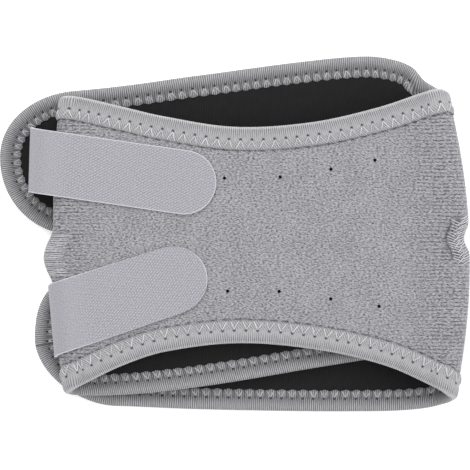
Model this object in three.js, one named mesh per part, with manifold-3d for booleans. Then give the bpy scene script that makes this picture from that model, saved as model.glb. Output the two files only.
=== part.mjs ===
// Knee support: one long foam sheet with a bound edge, folded flat into a tube and held shut by two
// hook straps. It lies on its rear panel: x runs across the leg, y along it and z up.
// The sheet runs from the flap inside, round the left fold, along the front, round the right fold and
// along the rear to its two lobes. Lengths are in millimetres.
import * as THREE from 'three';
import { mergeVertices } from 'three/addons/utils/BufferGeometryUtils.js';
import Module from 'manifold-3d';

const wasm = await Module();
wasm.setup();

// Sheet and edge tape
const FACE_THICKNESS = 0.8;
const FOAM_THICKNESS = 2.0;
const TAPE_THICKNESS = 0.7;
const TAPE_WIDTH = 11.5;
const CLEARANCE = 0.3;

// Folded wrap
const FRONT_WIDTH = 204;
const FRONT_HEIGHT = 149;
const FRONT_SAG = 1.2;
const FLAP_LENGTH = 170;
const FLAP_HEIGHT = 149;
const FLAP_CORNER_RADIUS = 16;
const REAR_LENGTH = 222.5;
const REAR_HEIGHT = 178;
const LEG_GAP = 8;

// Lobed end of the rear panel
const LOBE_REACH = 37.3;
const LOWER_LOBE_REACH = 19.8;
const LOWER_LOBE_RUN = 39.8;
const UPPER_LOBE_CENTRE = 38;
const LOWER_LOBE_CENTRE = -53;
const NOTCH_CENTRE = -12;
const NOTCH_WIDTH = 23;

// Folds, as seen from above
const LEFT_BOW = 6;
const RIGHT_BOW = 11.3;
const FOLD_HALF_HEIGHT = 78;
const RIGHT_BOW_CENTRE = -14;
const FOLD_TOP_SHARE = 0.92;
const FOLD_BOTTOM_SHARE = 1.07;
const DART_HEIGHT = 24;
const LEFT_DART_BULGE = 4.8;
const RIGHT_DART_DENT = 2.8;

// Vents and straps
const VENT_DIAMETER = 2.4;
const STRAP_THICKNESS = 1.3;
const UPPER_STRAP_WIDTH = 32;
const LOWER_STRAP_WIDTH = 35;
const UPPER_STRAP_LENGTH = 85;
const LOWER_STRAP_LENGTH = 72;
const STRAP_ROOT_LENGTH = 30;
const UPPER_STRAP_OVERHANG = 14;
const LOWER_STRAP_OVERHANG = 3.3;

const SHEET_THICKNESS = FACE_THICKNESS + CLEARANCE + FOAM_THICKNESS;
const EDGE_SETBACK = TAPE_THICKNESS + CLEARANCE;
const BOUND_THICKNESS = SHEET_THICKNESS + 2 * EDGE_SETBACK;

// Heights of the middle of each layer. The rear rests on its tape, the strap roots lie across that tape
// and the flap lies on the roots.
const REAR_Z = BOUND_THICKNESS / 2;
const ROOT_Z = REAR_Z + BOUND_THICKNESS / 2 + CLEARANCE + STRAP_THICKNESS / 2;
const FLAP_Z = ROOT_Z + STRAP_THICKNESS / 2 + CLEARANCE + BOUND_THICKNESS / 2;
const FRONT_Z = FLAP_Z + SHEET_THICKNESS + LEG_GAP;
const STRAP_Z = FRONT_Z + SHEET_THICKNESS / 2 + CLEARANCE + STRAP_THICKNESS / 2;

const LEFT_RADIUS = (FRONT_Z - FLAP_Z) / 2;
const RIGHT_RADIUS = (FRONT_Z - REAR_Z) / 2;
const LEFT_AXIS = -FRONT_WIDTH / 2 + LEFT_RADIUS + SHEET_THICKNESS / 2;
const RIGHT_AXIS = FRONT_WIDTH / 2 - RIGHT_RADIUS - SHEET_THICKNESS / 2;
const FRONT_RUN = RIGHT_AXIS - LEFT_AXIS;

// Distances along the sheet, from the free end of the flap to the tip of the upper lobe
const FLAP_START = 0;
const LEFT_START = FLAP_START + FLAP_LENGTH;
const FRONT_START = LEFT_START + Math.PI * LEFT_RADIUS;
const RIGHT_START = FRONT_START + FRONT_RUN;
const REAR_START = RIGHT_START + Math.PI * RIGHT_RADIUS;
const SHEET_END = REAR_START + REAR_LENGTH;

const { lerp, clamp } = THREE.MathUtils;

/** A rounded quarter between 1 at the shoulder and 0 at the tip. */
const quarter = (share, power) => (1 - clamp(share, 0, 1) ** power) ** (1 / power);

/** A soft hump: 1 in the middle and 0 at one half width from it. */
const hump = (offset, half) => (Math.abs(offset) < half ? (1 - (offset / half) ** 2) ** 2 : 0);

// The two folds as seen from above. Each bends in towards its ends from a place on its straight line,
// lead is the share of the bow by which its middle stands outside that line, and a dart pushes it.
const FOLDS = {
  left: {
    bow: LEFT_BOW,
    centre: 0,
    power: 3,
    lead: 1 / 3,
    side: -1,
    dartPush: LEFT_DART_BULGE,
    dartCentre: NOTCH_CENTRE,
    dartHalf: 0.625 * DART_HEIGHT,
  },
  right: {
    bow: RIGHT_BOW,
    centre: RIGHT_BOW_CENTRE,
    power: 2,
    lead: 1 / 5,
    side: 1,
    dartPush: -RIGHT_DART_DENT,
    dartCentre: NOTCH_CENTRE + 0.4 * DART_HEIGHT,
    dartHalf: DART_HEIGHT / 3,
  },
};

/** How far the face of a fold lies to the right of its straight line. */
function bowOf({ bow, centre, power, lead, side, dartPush, dartCentre, dartHalf }, y) {
  const reach = FOLD_HALF_HEIGHT + Math.abs(centre) / 2;
  const bend = bow * (lead - Math.abs((y - centre) / reach) ** power);
  return side * (bend + dartPush * hump(y - dartCentre, dartHalf));
}

/** How much the bow of the folds moves the sheet at a distance along it, fading out away from them. */
function bowAt(along, y) {
  const foldY = clamp(y, -FOLD_BOTTOM_SHARE * FOLD_HALF_HEIGHT, FOLD_TOP_SHARE * FOLD_HALF_HEIGHT);
  const front = clamp((along - FRONT_START) / FRONT_RUN, 0, 1);
  const flap = clamp((along - FLAP_START) / FLAP_LENGTH, 0, 1);
  const rear = clamp((along - REAR_START) / (REAR_LENGTH / 2), 0, 1);
  return bowOf(FOLDS.left, foldY) * flap * (1 - front) + bowOf(FOLDS.right, foldY) * front * (1 - rear);
}

/** How far the front panel sags between its folds, at a share of its run. */
const sagAt = (share) => FRONT_SAG * Math.sin(Math.PI * clamp(share, 0, 1)) ** 2;

/** The middle of the sheet in the x-z plane and the direction in which its grey side faces. */
function sectionAt(along) {
  if (along < LEFT_START) {
    return { x: LEFT_AXIS + LEFT_START - along, z: FLAP_Z, outX: 0, outZ: -1 };
  }
  if (along < FRONT_START) {
    const turn = (along - LEFT_START) / LEFT_RADIUS;
    const outX = -Math.sin(turn);
    const outZ = -Math.cos(turn);
    const axisZ = (FLAP_Z + FRONT_Z) / 2;
    return { x: LEFT_AXIS + LEFT_RADIUS * outX, z: axisZ + LEFT_RADIUS * outZ, outX, outZ };
  }
  if (along < RIGHT_START) {
    const share = (along - FRONT_START) / FRONT_RUN;
    const slope = (FRONT_SAG * Math.PI * Math.sin(2 * Math.PI * share)) / FRONT_RUN;
    const length = Math.hypot(1, slope);
    const x = lerp(LEFT_AXIS, RIGHT_AXIS, share);
    return { x, z: FRONT_Z - sagAt(share), outX: slope / length, outZ: 1 / length };
  }
  if (along < REAR_START) {
    const turn = (along - RIGHT_START) / RIGHT_RADIUS;
    const outX = Math.sin(turn);
    const outZ = Math.cos(turn);
    const axisZ = (REAR_Z + FRONT_Z) / 2;
    return { x: RIGHT_AXIS + RIGHT_RADIUS * outX, z: axisZ + RIGHT_RADIUS * outZ, outX, outZ };
  }
  return { x: RIGHT_AXIS - (along - REAR_START), z: REAR_Z, outX: 0, outZ: -1 };
}

/** The folded place of a point of the sheet, out millimetres from its middle towards the grey side. */
function folded(along, y, out) {
  const at = sectionAt(along);
  return [at.x + bowAt(along, y) + out * at.outX, y, at.z + out * at.outZ];
}

// The two long edges of the sheet: a share of each stretch, and heights as shares of its own height
const EDGE_TABLES = [
  {
    start: FLAP_START,
    length: FLAP_LENGTH,
    height: FLAP_HEIGHT,
    rows: [
      { along: 0, top: 0.289, bottom: -0.399 },
      { along: 0.3, top: 0.302, bottom: -0.453 },
      { along: 0.53, top: 0.322, bottom: -0.4965 },
      { along: 0.75, top: 0.365, bottom: -0.53 },
      { along: 0.93, top: 0.42, bottom: -0.5435 },
    ],
  },
  {
    start: LEFT_START,
    length: FRONT_START - LEFT_START,
    height: (FLAP_HEIGHT + FRONT_HEIGHT) / 2,
    rows: [{ along: 0.5, top: 0.4585, bottom: -0.537 }],
  },
  {
    start: FRONT_START,
    length: FRONT_RUN,
    height: FRONT_HEIGHT,
    rows: [
      { along: 0, top: 0.46, bottom: -0.513 },
      { along: 0.13, top: 0.427, bottom: -0.442 },
      { along: 0.25, top: 0.394, bottom: -0.395 },
      { along: 0.45, top: 0.358, bottom: -0.3665 },
      { along: 0.66, top: 0.373, bottom: -0.3885 },
      { along: 0.85, top: 0.422, bottom: -0.442 },
      { along: 1, top: 0.477, bottom: -0.518 },
    ],
  },
  {
    start: RIGHT_START,
    length: REAR_START - RIGHT_START,
    height: FRONT_HEIGHT,
    rows: [
      { along: 0.25, top: 0.486, bottom: -0.542 },
      { along: 0.6, top: 0.477, bottom: -0.562 },
    ],
  },
  {
    start: REAR_START,
    length: REAR_LENGTH,
    height: REAR_HEIGHT,
    rows: [
      { along: 0, top: 0.43, bottom: -0.487 },
      { along: 0.03, top: 0.468, bottom: -0.493 },
      { along: 0.08, top: 0.491, bottom: -0.498 },
      { along: 0.15, top: 0.5, bottom: -0.5 },
      { along: 0.3, top: 0.485, bottom: -0.5 },
      { along: 0.55, top: 0.4465, bottom: -0.4945 },
      { along: 0.74, top: 0.414, bottom: -0.485 },
      { along: 1, top: 0.384, bottom: -0.478 },
    ],
  },
];

const EDGE_ROWS = EDGE_TABLES.flatMap(({ start, length, height, rows }) =>
  rows.map((row) => ({
    along: start + row.along * length,
    top: row.top * height,
    bottom: row.bottom * height,
  })),
);

/** The height of an edge at a distance along the sheet, a smooth curve through the rows. */
function edgeAt(along, edge) {
  const last = EDGE_ROWS.length - 1;
  const found = EDGE_ROWS.findIndex((row) => row.along > along);
  const index = clamp(found < 0 ? last : found, 1, last);
  const [before, from, to, after] = [-2, -1, 0, 1].map((step) => EDGE_ROWS[clamp(index + step, 0, last)]);
  const span = to.along - from.along;
  const slope = (a, b) => (b[edge] - a[edge]) / (b.along - a.along);
  const share = clamp((along - from.along) / span, 0, 1);
  const startSlope = slope(before, to) * span;
  const endSlope = slope(from, after) * span;
  const rise = to[edge] - from[edge];
  const bend = (3 * rise - 2 * startSlope - endSlope) * share ** 2;
  const twist = (startSlope + endSlope - 2 * rise) * share ** 3;
  return from[edge] + startSlope * share + bend + twist;
}

/** How much a rounded corner of the flap takes off each long edge. */
function cornerCut(along) {
  const left = clamp(FLAP_CORNER_RADIUS - along, 0, FLAP_CORNER_RADIUS);
  return FLAP_CORNER_RADIUS - Math.sqrt(FLAP_CORNER_RADIUS ** 2 - left ** 2);
}

const LOBE_SHOULDER = SHEET_END - LOBE_REACH;
const NOTCH_START = LOBE_SHOULDER - NOTCH_WIDTH / 2;

/** The half width of the notch between the lobes: a round bottom, then straight. */
const notchHalf = (along) => (NOTCH_WIDTH / 2) * quarter((LOBE_SHOULDER - along) / (NOTCH_WIDTH / 2), 2);

const LOBES = {
  upper: {
    centre: UPPER_LOBE_CENTRE,
    tip: SHEET_END,
    outerEdge: 'top',
    outer: { shoulder: LOBE_SHOULDER, power: 2.15 },
    inner: { shoulder: LOBE_SHOULDER, power: 2 },
    notchSide: 1,
  },
  lower: {
    centre: LOWER_LOBE_CENTRE,
    tip: LOBE_SHOULDER + LOWER_LOBE_REACH,
    outerEdge: 'bottom',
    outer: { shoulder: LOBE_SHOULDER + LOWER_LOBE_REACH - LOWER_LOBE_RUN, power: 1.8 },
    inner: { shoulder: LOBE_SHOULDER, power: 2.4 },
    notchSide: -1,
  },
};

/** An edge drawn in towards the middle of a lobe, from its shoulder to the tip. */
const drawnIn = ({ centre, tip }, { shoulder, power }, edge, along) =>
  centre + (edge - centre) * quarter((along - shoulder) / (tip - shoulder), power);

/** The long edge of a lobe, also along the plain sheet before its shoulder. */
const longEdge = (lobe, along) => drawnIn(lobe, lobe.outer, edgeAt(along, lobe.outerEdge), along);

/** The edge of a lobe beside the notch. */
const notchEdge = (lobe, along) =>
  drawnIn(lobe, lobe.inner, NOTCH_CENTRE + lobe.notchSide * notchHalf(along), along);

// Columns of points across the sheet
const PLAIN_ROWS = 6;
const LOBE_ROWS = 3;
const CORNER_STEPS = 3;
const FLAP_STEPS = 7;
const FOLD_STEPS = 8;
const FRONT_STEPS = 10;
const REAR_STEPS = 9;
const SHOULDER_STEPS = 3;
const SHOULDER_END = REAR_START + REAR_LENGTH / 10;
const NOTCH_STEPS = 3;
const LOBE_STEPS = 9;
const DART_ROWS = 6;
const FOLD_END_ROWS = 4;

const shares = (count) => Array.from({ length: count + 1 }, (_, index) => index / count);

/** Distances from one place to another in even steps, without the last. */
const steps = (from, to, count) => shares(count).slice(0, -1).map((share) => lerp(from, to, share));

/** Whether a distance along the sheet lies in the left or the right fold. */
const inFold = (along) =>
  (along >= LEFT_START && along <= FRONT_START) || (along >= RIGHT_START && along <= REAR_START);

/** Heights across a column, closer together beside the darts when the column lies in a fold. */
function heightsAcross(low, high, along) {
  if (!inFold(along)) {
    return shares(PLAIN_ROWS).map((share) => lerp(low, high, share));
  }
  const dartLow = FOLDS.left.dartCentre - FOLDS.left.dartHalf;
  const dartHigh = FOLDS.right.dartCentre + FOLDS.right.dartHalf;
  return [
    ...steps(low, dartLow, FOLD_END_ROWS),
    ...steps(dartLow, dartHigh, DART_ROWS),
    ...shares(FOLD_END_ROWS).map((share) => lerp(dartHigh, high, share)),
  ];
}

/** The flat pattern of the sheet: its points as [along, y] and its triangles. */
function buildPattern() {
  const points = [];
  const triangles = [];
  const column = (along, heights) => heights.map((y) => points.push([along, y]) - 1);

  /** Joins two columns, which may differ in number, by always closing the shorter diagonal. */
  const join = (left, right) => {
    const gap = (a, b) => Math.hypot(points[a][0] - points[b][0], points[a][1] - points[b][1]);
    let [i, j] = [0, 0];
    while (i < left.length - 1 || j < right.length - 1) {
      const canLeft = i < left.length - 1;
      const canRight = j < right.length - 1;
      const upLeft = canLeft && (!canRight || gap(left[i + 1], right[j]) <= gap(left[i], right[j + 1]));
      triangles.push(upLeft ? [left[i], right[j], left[i + 1]] : [left[i], right[j], right[j + 1]]);
      i += upLeft ? 1 : 0;
      j += upLeft ? 0 : 1;
    }
  };

  const places = [
    ...steps(0, 90, CORNER_STEPS).map(
      (degrees) => FLAP_CORNER_RADIUS * (1 - Math.cos(THREE.MathUtils.degToRad(degrees))),
    ),
    ...steps(FLAP_CORNER_RADIUS, LEFT_START, FLAP_STEPS),
    ...steps(LEFT_START, FRONT_START, FOLD_STEPS),
    ...steps(FRONT_START, RIGHT_START, FRONT_STEPS),
    ...steps(RIGHT_START, REAR_START, FOLD_STEPS),
    ...steps(REAR_START, SHOULDER_END, SHOULDER_STEPS),
    ...steps(SHOULDER_END, NOTCH_START, REAR_STEPS),
  ];
  let previous = null;
  for (const along of places) {
    const low = longEdge(LOBES.lower, along) + cornerCut(along);
    const high = longEdge(LOBES.upper, along) - cornerCut(along);
    const current = column(along, heightsAcross(low, high, along));
    if (previous) {
      join(previous, current);
    }
    previous = current;
  }

  const splitHigh = longEdge(LOBES.upper, NOTCH_START);
  const split = column(NOTCH_START, [
    ...steps(longEdge(LOBES.lower, NOTCH_START), NOTCH_CENTRE, LOBE_ROWS),
    ...shares(LOBE_ROWS).map((share) => lerp(NOTCH_CENTRE, splitHigh, share)),
  ]);
  join(previous, split);

  for (const [lobe, start] of [
    [LOBES.lower, split.slice(0, LOBE_ROWS + 1)],
    [LOBES.upper, split.slice(LOBE_ROWS)],
  ]) {
    const notchPlaces = shares(NOTCH_STEPS).slice(1).map(
      (share) => LOBE_SHOULDER - (NOTCH_WIDTH / 2) * Math.cos((share * Math.PI) / 2),
    );
    const lobePlaces = shares(LOBE_STEPS).slice(1, -1).map(
      (share) => LOBE_SHOULDER + (lobe.tip - LOBE_SHOULDER) * Math.sin((share * Math.PI) / 2),
    );
    let last = start;
    for (const along of [...notchPlaces, ...lobePlaces]) {
      const [low, high] = [longEdge(lobe, along), notchEdge(lobe, along)].sort((a, b) => a - b);
      const rows = lobe.tip - along > TAPE_WIDTH / 2 ? LOBE_ROWS : 1;
      const current = column(along, shares(rows).map((share) => lerp(low, high, share)));
      join(last, current);
      last = current;
    }
    join(last, column(lobe.tip, [lobe.centre]));
  }
  return { points, triangles };
}

/** The points on the edge of a pattern, in order round it. */
function outlineOf({ triangles }) {
  const next = new Map();
  const used = new Set(triangles.flatMap(([a, b, c]) => [`${a} ${b}`, `${b} ${c}`, `${c} ${a}`]));
  for (const [a, b, c] of triangles) {
    for (const [from, to] of [[a, b], [b, c], [c, a]]) {
      if (!used.has(`${to} ${from}`)) {
        next.set(from, to);
      }
    }
  }
  const first = next.keys().next().value;
  const loop = [first];
  while (next.get(loop.at(-1)) !== first) {
    loop.push(next.get(loop.at(-1)));
  }
  return loop;
}

/** The step inwards at each point of the outline for a parallel line 1 mm inside it, straight across in
 * the folds. */
function inwardAt(points, loop) {
  return loop.map((point, index) => {
    const [beforeX, beforeY] = points[loop.at(index - 1)];
    const [afterX, afterY] = points[loop[(index + 1) % loop.length]];
    const [x, y] = points[point];
    const unit = (dx, dy) => [dx / Math.hypot(dx, dy), dy / Math.hypot(dx, dy)];
    const [inX, inY] = unit(x - beforeX, y - beforeY);
    const [outX, outY] = unit(afterX - x, afterY - y);
    const [alongX, alongY] = unit(inX + outX, inY + outY);
    const mitre = 1 / (inX * alongX + inY * alongY);
    return inFold(x) ? [0, 1 / alongX] : [-alongY * mitre, alongX * mitre];
  });
}

/** A closed mesh from points and triangles. */
function closedGeometry(points, triangles) {
  const geometry = new THREE.BufferGeometry();
  geometry.setAttribute('position', new THREE.Float32BufferAttribute(points.flat(), 3));
  geometry.setIndex(triangles.flat());
  geometry.computeVertexNormals();
  return geometry;
}

/** A layer of the sheet between two offsets from its middle. */
function layerGeometry(pattern, loop, inner, outer) {
  const { points, triangles } = pattern;
  const count = points.length;
  const places = [outer, inner].flatMap((out) => points.map(([along, y]) => folded(along, y, out)));
  const faces = [
    ...triangles,
    ...triangles.map(([a, b, c]) => [c + count, b + count, a + count]),
    ...loop.flatMap((from, index) => {
      const to = loop[(index + 1) % loop.length];
      return [[to, from, from + count], [to, from + count, to + count]];
    }),
  ];
  return closedGeometry(places, faces);
}

/** A closed ring of equal sections, each a list of places in space. */
function ringGeometry(sections) {
  const size = sections[0].length;
  const faces = sections.flatMap((_, ring) =>
    sections[0].flatMap((__, corner) => {
      const nextRing = (ring + 1) % sections.length;
      const nextCorner = (corner + 1) % size;
      const [a, b] = [ring * size + corner, ring * size + nextCorner];
      const [c, d] = [nextRing * size + corner, nextRing * size + nextCorner];
      return [[a, b, c], [b, d, c]];
    }),
  );
  return closedGeometry(sections.flat(), faces);
}

/** The section of the edge tape: a U with a round nose, as [inward from the edge, out from the middle]. */
function tapeSection() {
  const outside = BOUND_THICKNESS / 2;
  const inside = outside - TAPE_THICKNESS;
  const nose = [
    { inward: 1.1, out: 1 },
    { inward: 0.35, out: 0.84 },
    { inward: 0, out: 0.45 },
  ].map(({ inward, out }) => [inward * EDGE_SETBACK, out * outside]);
  const mirrored = nose.map(([inward, out]) => [inward, -out]).reverse();
  return [
    [TAPE_WIDTH, outside],
    ...nose,
    ...mirrored,
    [TAPE_WIDTH, -outside],
    [TAPE_WIDTH, -inside],
    [TAPE_THICKNESS, -inside],
    [TAPE_THICKNESS, inside],
    [TAPE_WIDTH, inside],
  ];
}

/** The tape along the whole outline of the sheet. */
function tapeGeometry(points, loop) {
  const inward = inwardAt(points, loop);
  return ringGeometry(
    loop.map((point, index) => {
      const [along, y] = points[point];
      const [inX, inY] = inward[index];
      return tapeSection().map(([depth, out]) => folded(along + inX * depth, y + inY * depth, out));
    }),
  );
}

/** The pattern with its edge drawn in by the thickness of the tape and its clearance. */
function setBack(pattern, loop) {
  const points = pattern.points.map((point) => [...point]);
  inwardAt(pattern.points, loop).forEach(([inX, inY], index) => {
    const [along, y] = pattern.points[loop[index]];
    points[loop[index]] = [along + inX * EDGE_SETBACK, y + inY * EDGE_SETBACK];
  });
  return { points, triangles: pattern.triangles };
}

/** A geometry as a solid that can be cut. */
function solidOf(geometry) {
  const bare = geometry.clone();
  bare.deleteAttribute('normal');
  bare.deleteAttribute('uv');
  const merged = mergeVertices(bare);
  const vertProperties = new Float32Array(merged.attributes.position.array);
  const triVerts = new Uint32Array(merged.index.array);
  return new wasm.Manifold(new wasm.Mesh({ numProp: 3, vertProperties, triVerts }));
}

/** A cut solid as a geometry again. */
function geometryOf(solid) {
  const mesh = solid.getMesh();
  const geometry = new THREE.BufferGeometry();
  geometry.setAttribute('position', new THREE.BufferAttribute(mesh.vertProperties, 3));
  geometry.setIndex(new THREE.BufferAttribute(mesh.triVerts, 1));
  geometry.computeVertexNormals();
  return geometry;
}

// Vents through the front panel: shares of its run from the left and of its height
const VENTS = [
  { across: 0.417, up: 0.186 },
  { across: 0.565, up: 0.19 },
  { across: 0.702, up: 0.2155 },
  { across: 0.822, up: 0.246 },
  { across: 0.42, up: -0.192 },
  { across: 0.555, up: -0.193 },
  { across: 0.691, up: -0.218 },
  { across: 0.819, up: -0.243 },
];
const VENT_SIDES = 8;

/** A layer with the vents cut through its front panel. */
function withVents(geometry) {
  let solid = solidOf(geometry);
  for (const { across, up } of VENTS) {
    const length = SHEET_THICKNESS * 4;
    const cutter = new THREE.CylinderGeometry(VENT_DIAMETER / 2, VENT_DIAMETER / 2, length, VENT_SIDES);
    cutter.rotateX(Math.PI / 2);
    const y = up * FRONT_HEIGHT;
    const [x] = folded(FRONT_START + across * FRONT_RUN, y, 0);
    cutter.translate(x, y, FRONT_Z - sagAt(across));
    solid = solid.subtract(solidOf(cutter));
  }
  return geometryOf(solid);
}

// How each strap lies: its bend line, its lean on the front panel, and its size
const STRAPS = {
  strap_upper: {
    width: UPPER_STRAP_WIDTH,
    length: UPPER_STRAP_LENGTH,
    overhang: UPPER_STRAP_OVERHANG,
    height: 0.238 * FRONT_HEIGHT,
    bendLean: -1.7,
    lean: -6.5,
    tipTaper: 0,
  },
  strap_lower: {
    width: LOWER_STRAP_WIDTH,
    length: LOWER_STRAP_LENGTH,
    overhang: LOWER_STRAP_OVERHANG,
    height: -0.27 * FRONT_HEIGHT,
    bendLean: 5.2,
    lean: 13,
    tipTaper: 0.04,
  },
};
const STRAP_STEPS = 6;
const STRAP_TIP_STEPS = 7;
const STRAP_ROOT_STEPS = 2;
const STRAP_ROWS = 4;

/** The height of a strap's middle where it lies on the front panel. */
const strapHeight = (x) => STRAP_Z - sagAt((x - LEFT_AXIS) / FRONT_RUN);

/** A strap from its root on the rear panel, round the left fold and over the front to its round tip. */
function strapGeometry({ width, length, overhang, height, bendLean, lean, tipTaper }) {
  const radius = (STRAP_Z - ROOT_Z) / 2;
  const turn = Math.PI * radius;
  const axisZ = (STRAP_Z + ROOT_Z) / 2;
  const bendAngle = THREE.MathUtils.degToRad(bendLean);
  const leanAngle = THREE.MathUtils.degToRad(lean);
  const axisX = -FRONT_WIDTH / 2 - overhang + radius + STRAP_THICKNESS / 2;

  /** The place of a point at a distance from the bend's end, across the strap and off its middle. */
  const place = (run, across, off) => {
    const skew = run > 0 ? clamp(1 - run / (length / 2), 0, 1) : 1;
    const shifted = run + across * Math.tan(leanAngle) * skew;
    const away = shifted * Math.cos(leanAngle) - across * Math.sin(leanAngle);
    // Past the middle of the bend the strap runs back under itself
    const under = run < -turn / 2;
    const slide = under ? 2 * across * Math.tan(leanAngle) - turn - shifted : shifted;
    const side = slide * Math.sin(leanAngle) + across * Math.cos(leanAngle);
    const angle = clamp(-away / radius, 0, Math.PI);
    const straight = away > 0 ? away : Math.max(-away - turn, 0);
    const out = radius + off;
    const plan = straight - out * Math.sin(angle);
    const x = axisX + plan * Math.cos(bendAngle) - side * Math.sin(bendAngle);
    const y = height + plan * Math.sin(bendAngle) + side * Math.cos(bendAngle);
    const lift = away > 0 ? strapHeight(x) - STRAP_Z : 0;
    return [x, y, axisZ + out * Math.cos(angle) + lift];
  };

  const tipRadius = width / 2;
  const stations = [
    ...steps(-turn - STRAP_ROOT_LENGTH, -turn, STRAP_ROOT_STEPS).map((run) => ({ run, half: tipRadius })),
    ...steps(-turn, 0, FOLD_STEPS).map((run) => ({ run, half: tipRadius })),
    ...steps(0, length - tipRadius, STRAP_STEPS).map((run) => ({
      run,
      half: tipRadius * (1 - tipTaper * (run / length)),
    })),
    ...steps(0, Math.PI / 2, STRAP_TIP_STEPS).map((turned) => ({
      run: length - tipRadius + tipRadius * Math.sin(turned),
      half: tipRadius * (1 - tipTaper) * Math.cos(turned),
    })),
  ];
  const rows = shares(STRAP_ROWS).map((share) => 2 * share - 1);
  const sections = stations.map(({ run, half }) => [
    ...rows.map((row) => place(run, row * half, STRAP_THICKNESS / 2)),
    ...rows.toReversed().map((row) => place(run, row * half, -STRAP_THICKNESS / 2)),
  ]);
  return stripGeometry(sections);
}

/** A strip of flat sections, each its upper side and then its lower side back, closed at both ends. */
function stripGeometry(sections) {
  const size = sections[0].length;
  const half = size / 2;
  const faces = sections.slice(1).flatMap((_, step) =>
    sections[0].flatMap((__, corner) => {
      const nextCorner = (corner + 1) % size;
      const [a, b] = [step * size + corner, step * size + nextCorner];
      const [c, d] = [a + size, b + size];
      return [[a, c, b], [b, c, d]];
    }),
  );
  const end = (sections.length - 1) * size;
  for (let row = 0; row < half - 1; row += 1) {
    const back = size - 1 - row;
    faces.push([row, row + 1, back], [row + 1, back - 1, back]);
    faces.push([end + row, end + back, end + row + 1], [end + row + 1, end + back, end + back - 1]);
  }
  return closedGeometry(sections.flat(), faces);
}

/** A named piece with its finish. */
function piece(name, geometry, color, roughness) {
  const material = new THREE.MeshStandardMaterial({ color, roughness, metalness: 0 });
  const mesh = new THREE.Mesh(geometry, material);
  mesh.name = name;
  return mesh;
}

const pattern = buildPattern();
const loop = outlineOf(pattern);
const sheet = setBack(pattern, loop);
const middleToFace = SHEET_THICKNESS / 2;
const cover = layerGeometry(sheet, loop, middleToFace - FACE_THICKNESS, middleToFace);
const core = layerGeometry(sheet, loop, -middleToFace, -middleToFace + FOAM_THICKNESS);

const support = new THREE.Group();
support.add(
  piece('outer_cover', withVents(cover), '#a3a2a6', 0.95),
  piece('neoprene_core', withVents(core), '#222224', 0.85),
  piece('edge_binding', tapeGeometry(pattern.points, loop), '#aba9aa', 0.8),
  piece('strap_upper', strapGeometry(STRAPS.strap_upper), '#b3b2b8', 0.7),
  piece('strap_lower', strapGeometry(STRAPS.strap_lower), '#b3b2b8', 0.7),
);

const box = new THREE.Box3().setFromObject(support);
support.position.set(-(box.min.x + box.max.x) / 2, -(box.min.y + box.max.y) / 2, -box.min.z);

export default support;
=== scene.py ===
"""A knee support, folded flat: its grey loop cover, black lining, sewn edge tape, darts and hook straps."""
import logging
import math
from collections.abc import Callable, Sequence
from dataclasses import dataclass, field
from enum import Enum
from functools import partial

import bpy
import numpy as np
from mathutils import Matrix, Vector
from mathutils.kdtree import KDTree


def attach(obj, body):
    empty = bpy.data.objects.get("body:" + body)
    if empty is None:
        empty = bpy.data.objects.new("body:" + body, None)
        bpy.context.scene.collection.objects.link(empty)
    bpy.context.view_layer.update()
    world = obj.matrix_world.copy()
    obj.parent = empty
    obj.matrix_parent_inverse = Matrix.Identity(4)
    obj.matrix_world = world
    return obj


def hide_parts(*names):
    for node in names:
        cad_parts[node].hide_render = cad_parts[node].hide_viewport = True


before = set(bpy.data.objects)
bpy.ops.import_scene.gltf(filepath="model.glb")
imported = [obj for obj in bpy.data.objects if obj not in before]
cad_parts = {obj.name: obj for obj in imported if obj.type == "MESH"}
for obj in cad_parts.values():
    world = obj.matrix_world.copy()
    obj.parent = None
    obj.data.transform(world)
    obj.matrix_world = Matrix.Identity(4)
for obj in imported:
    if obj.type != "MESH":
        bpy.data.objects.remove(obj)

LOG = logging.getLogger("knee_support")

MM = 0.001
SHADER = "Principled BSDF"
# How far a thread under the wrap may stand out below it, in millimetres
THREAD_SINK = 0.1
# The scale of the wave texture that makes one rib a millimetre
RIB_SCALE = 0.314

Array = np.ndarray
Piece = bpy.types.Object
Socket = bpy.types.NodeSocket
Term = float | Socket
AddNode = Callable[..., Socket]

# The middle of the folded wrap, seen from the middle of its box, in millimetres
CENTRE_X = 13.4236
CENTRE_Y = 0.1390


class Face(Enum):
    """The two faces of the wrap's sheet."""

    GREY = 1.0
    BLACK = -1.0


class Hand(Enum):
    """The two folds of the wrap, as seen from above."""

    LEFT = "left"
    RIGHT = "right"


# ---- Sizes of the wrap ----


def quarter(share: Array, power: float) -> Array:
    """A rounded quarter, from 1 at a shoulder (share 0) to 0 at a tip (share 1)."""
    return (1.0 - np.clip(share, 0.0, 1.0) ** power) ** (1.0 / power)


def hump(offset: Array, half: float) -> Array:
    """A soft hump, 1 in its middle and 0 at one half width from it."""
    return np.clip(1.0 - (offset / half) ** 2, 0.0, None) ** 2


def smooth(value: Array, low: float, high: float) -> Array:
    """A smooth step from 0 at low to 1 at high."""
    share = np.clip((value - low) / (high - low), 0.0, 1.0)
    return share * share * (3.0 - 2.0 * share)


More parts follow.
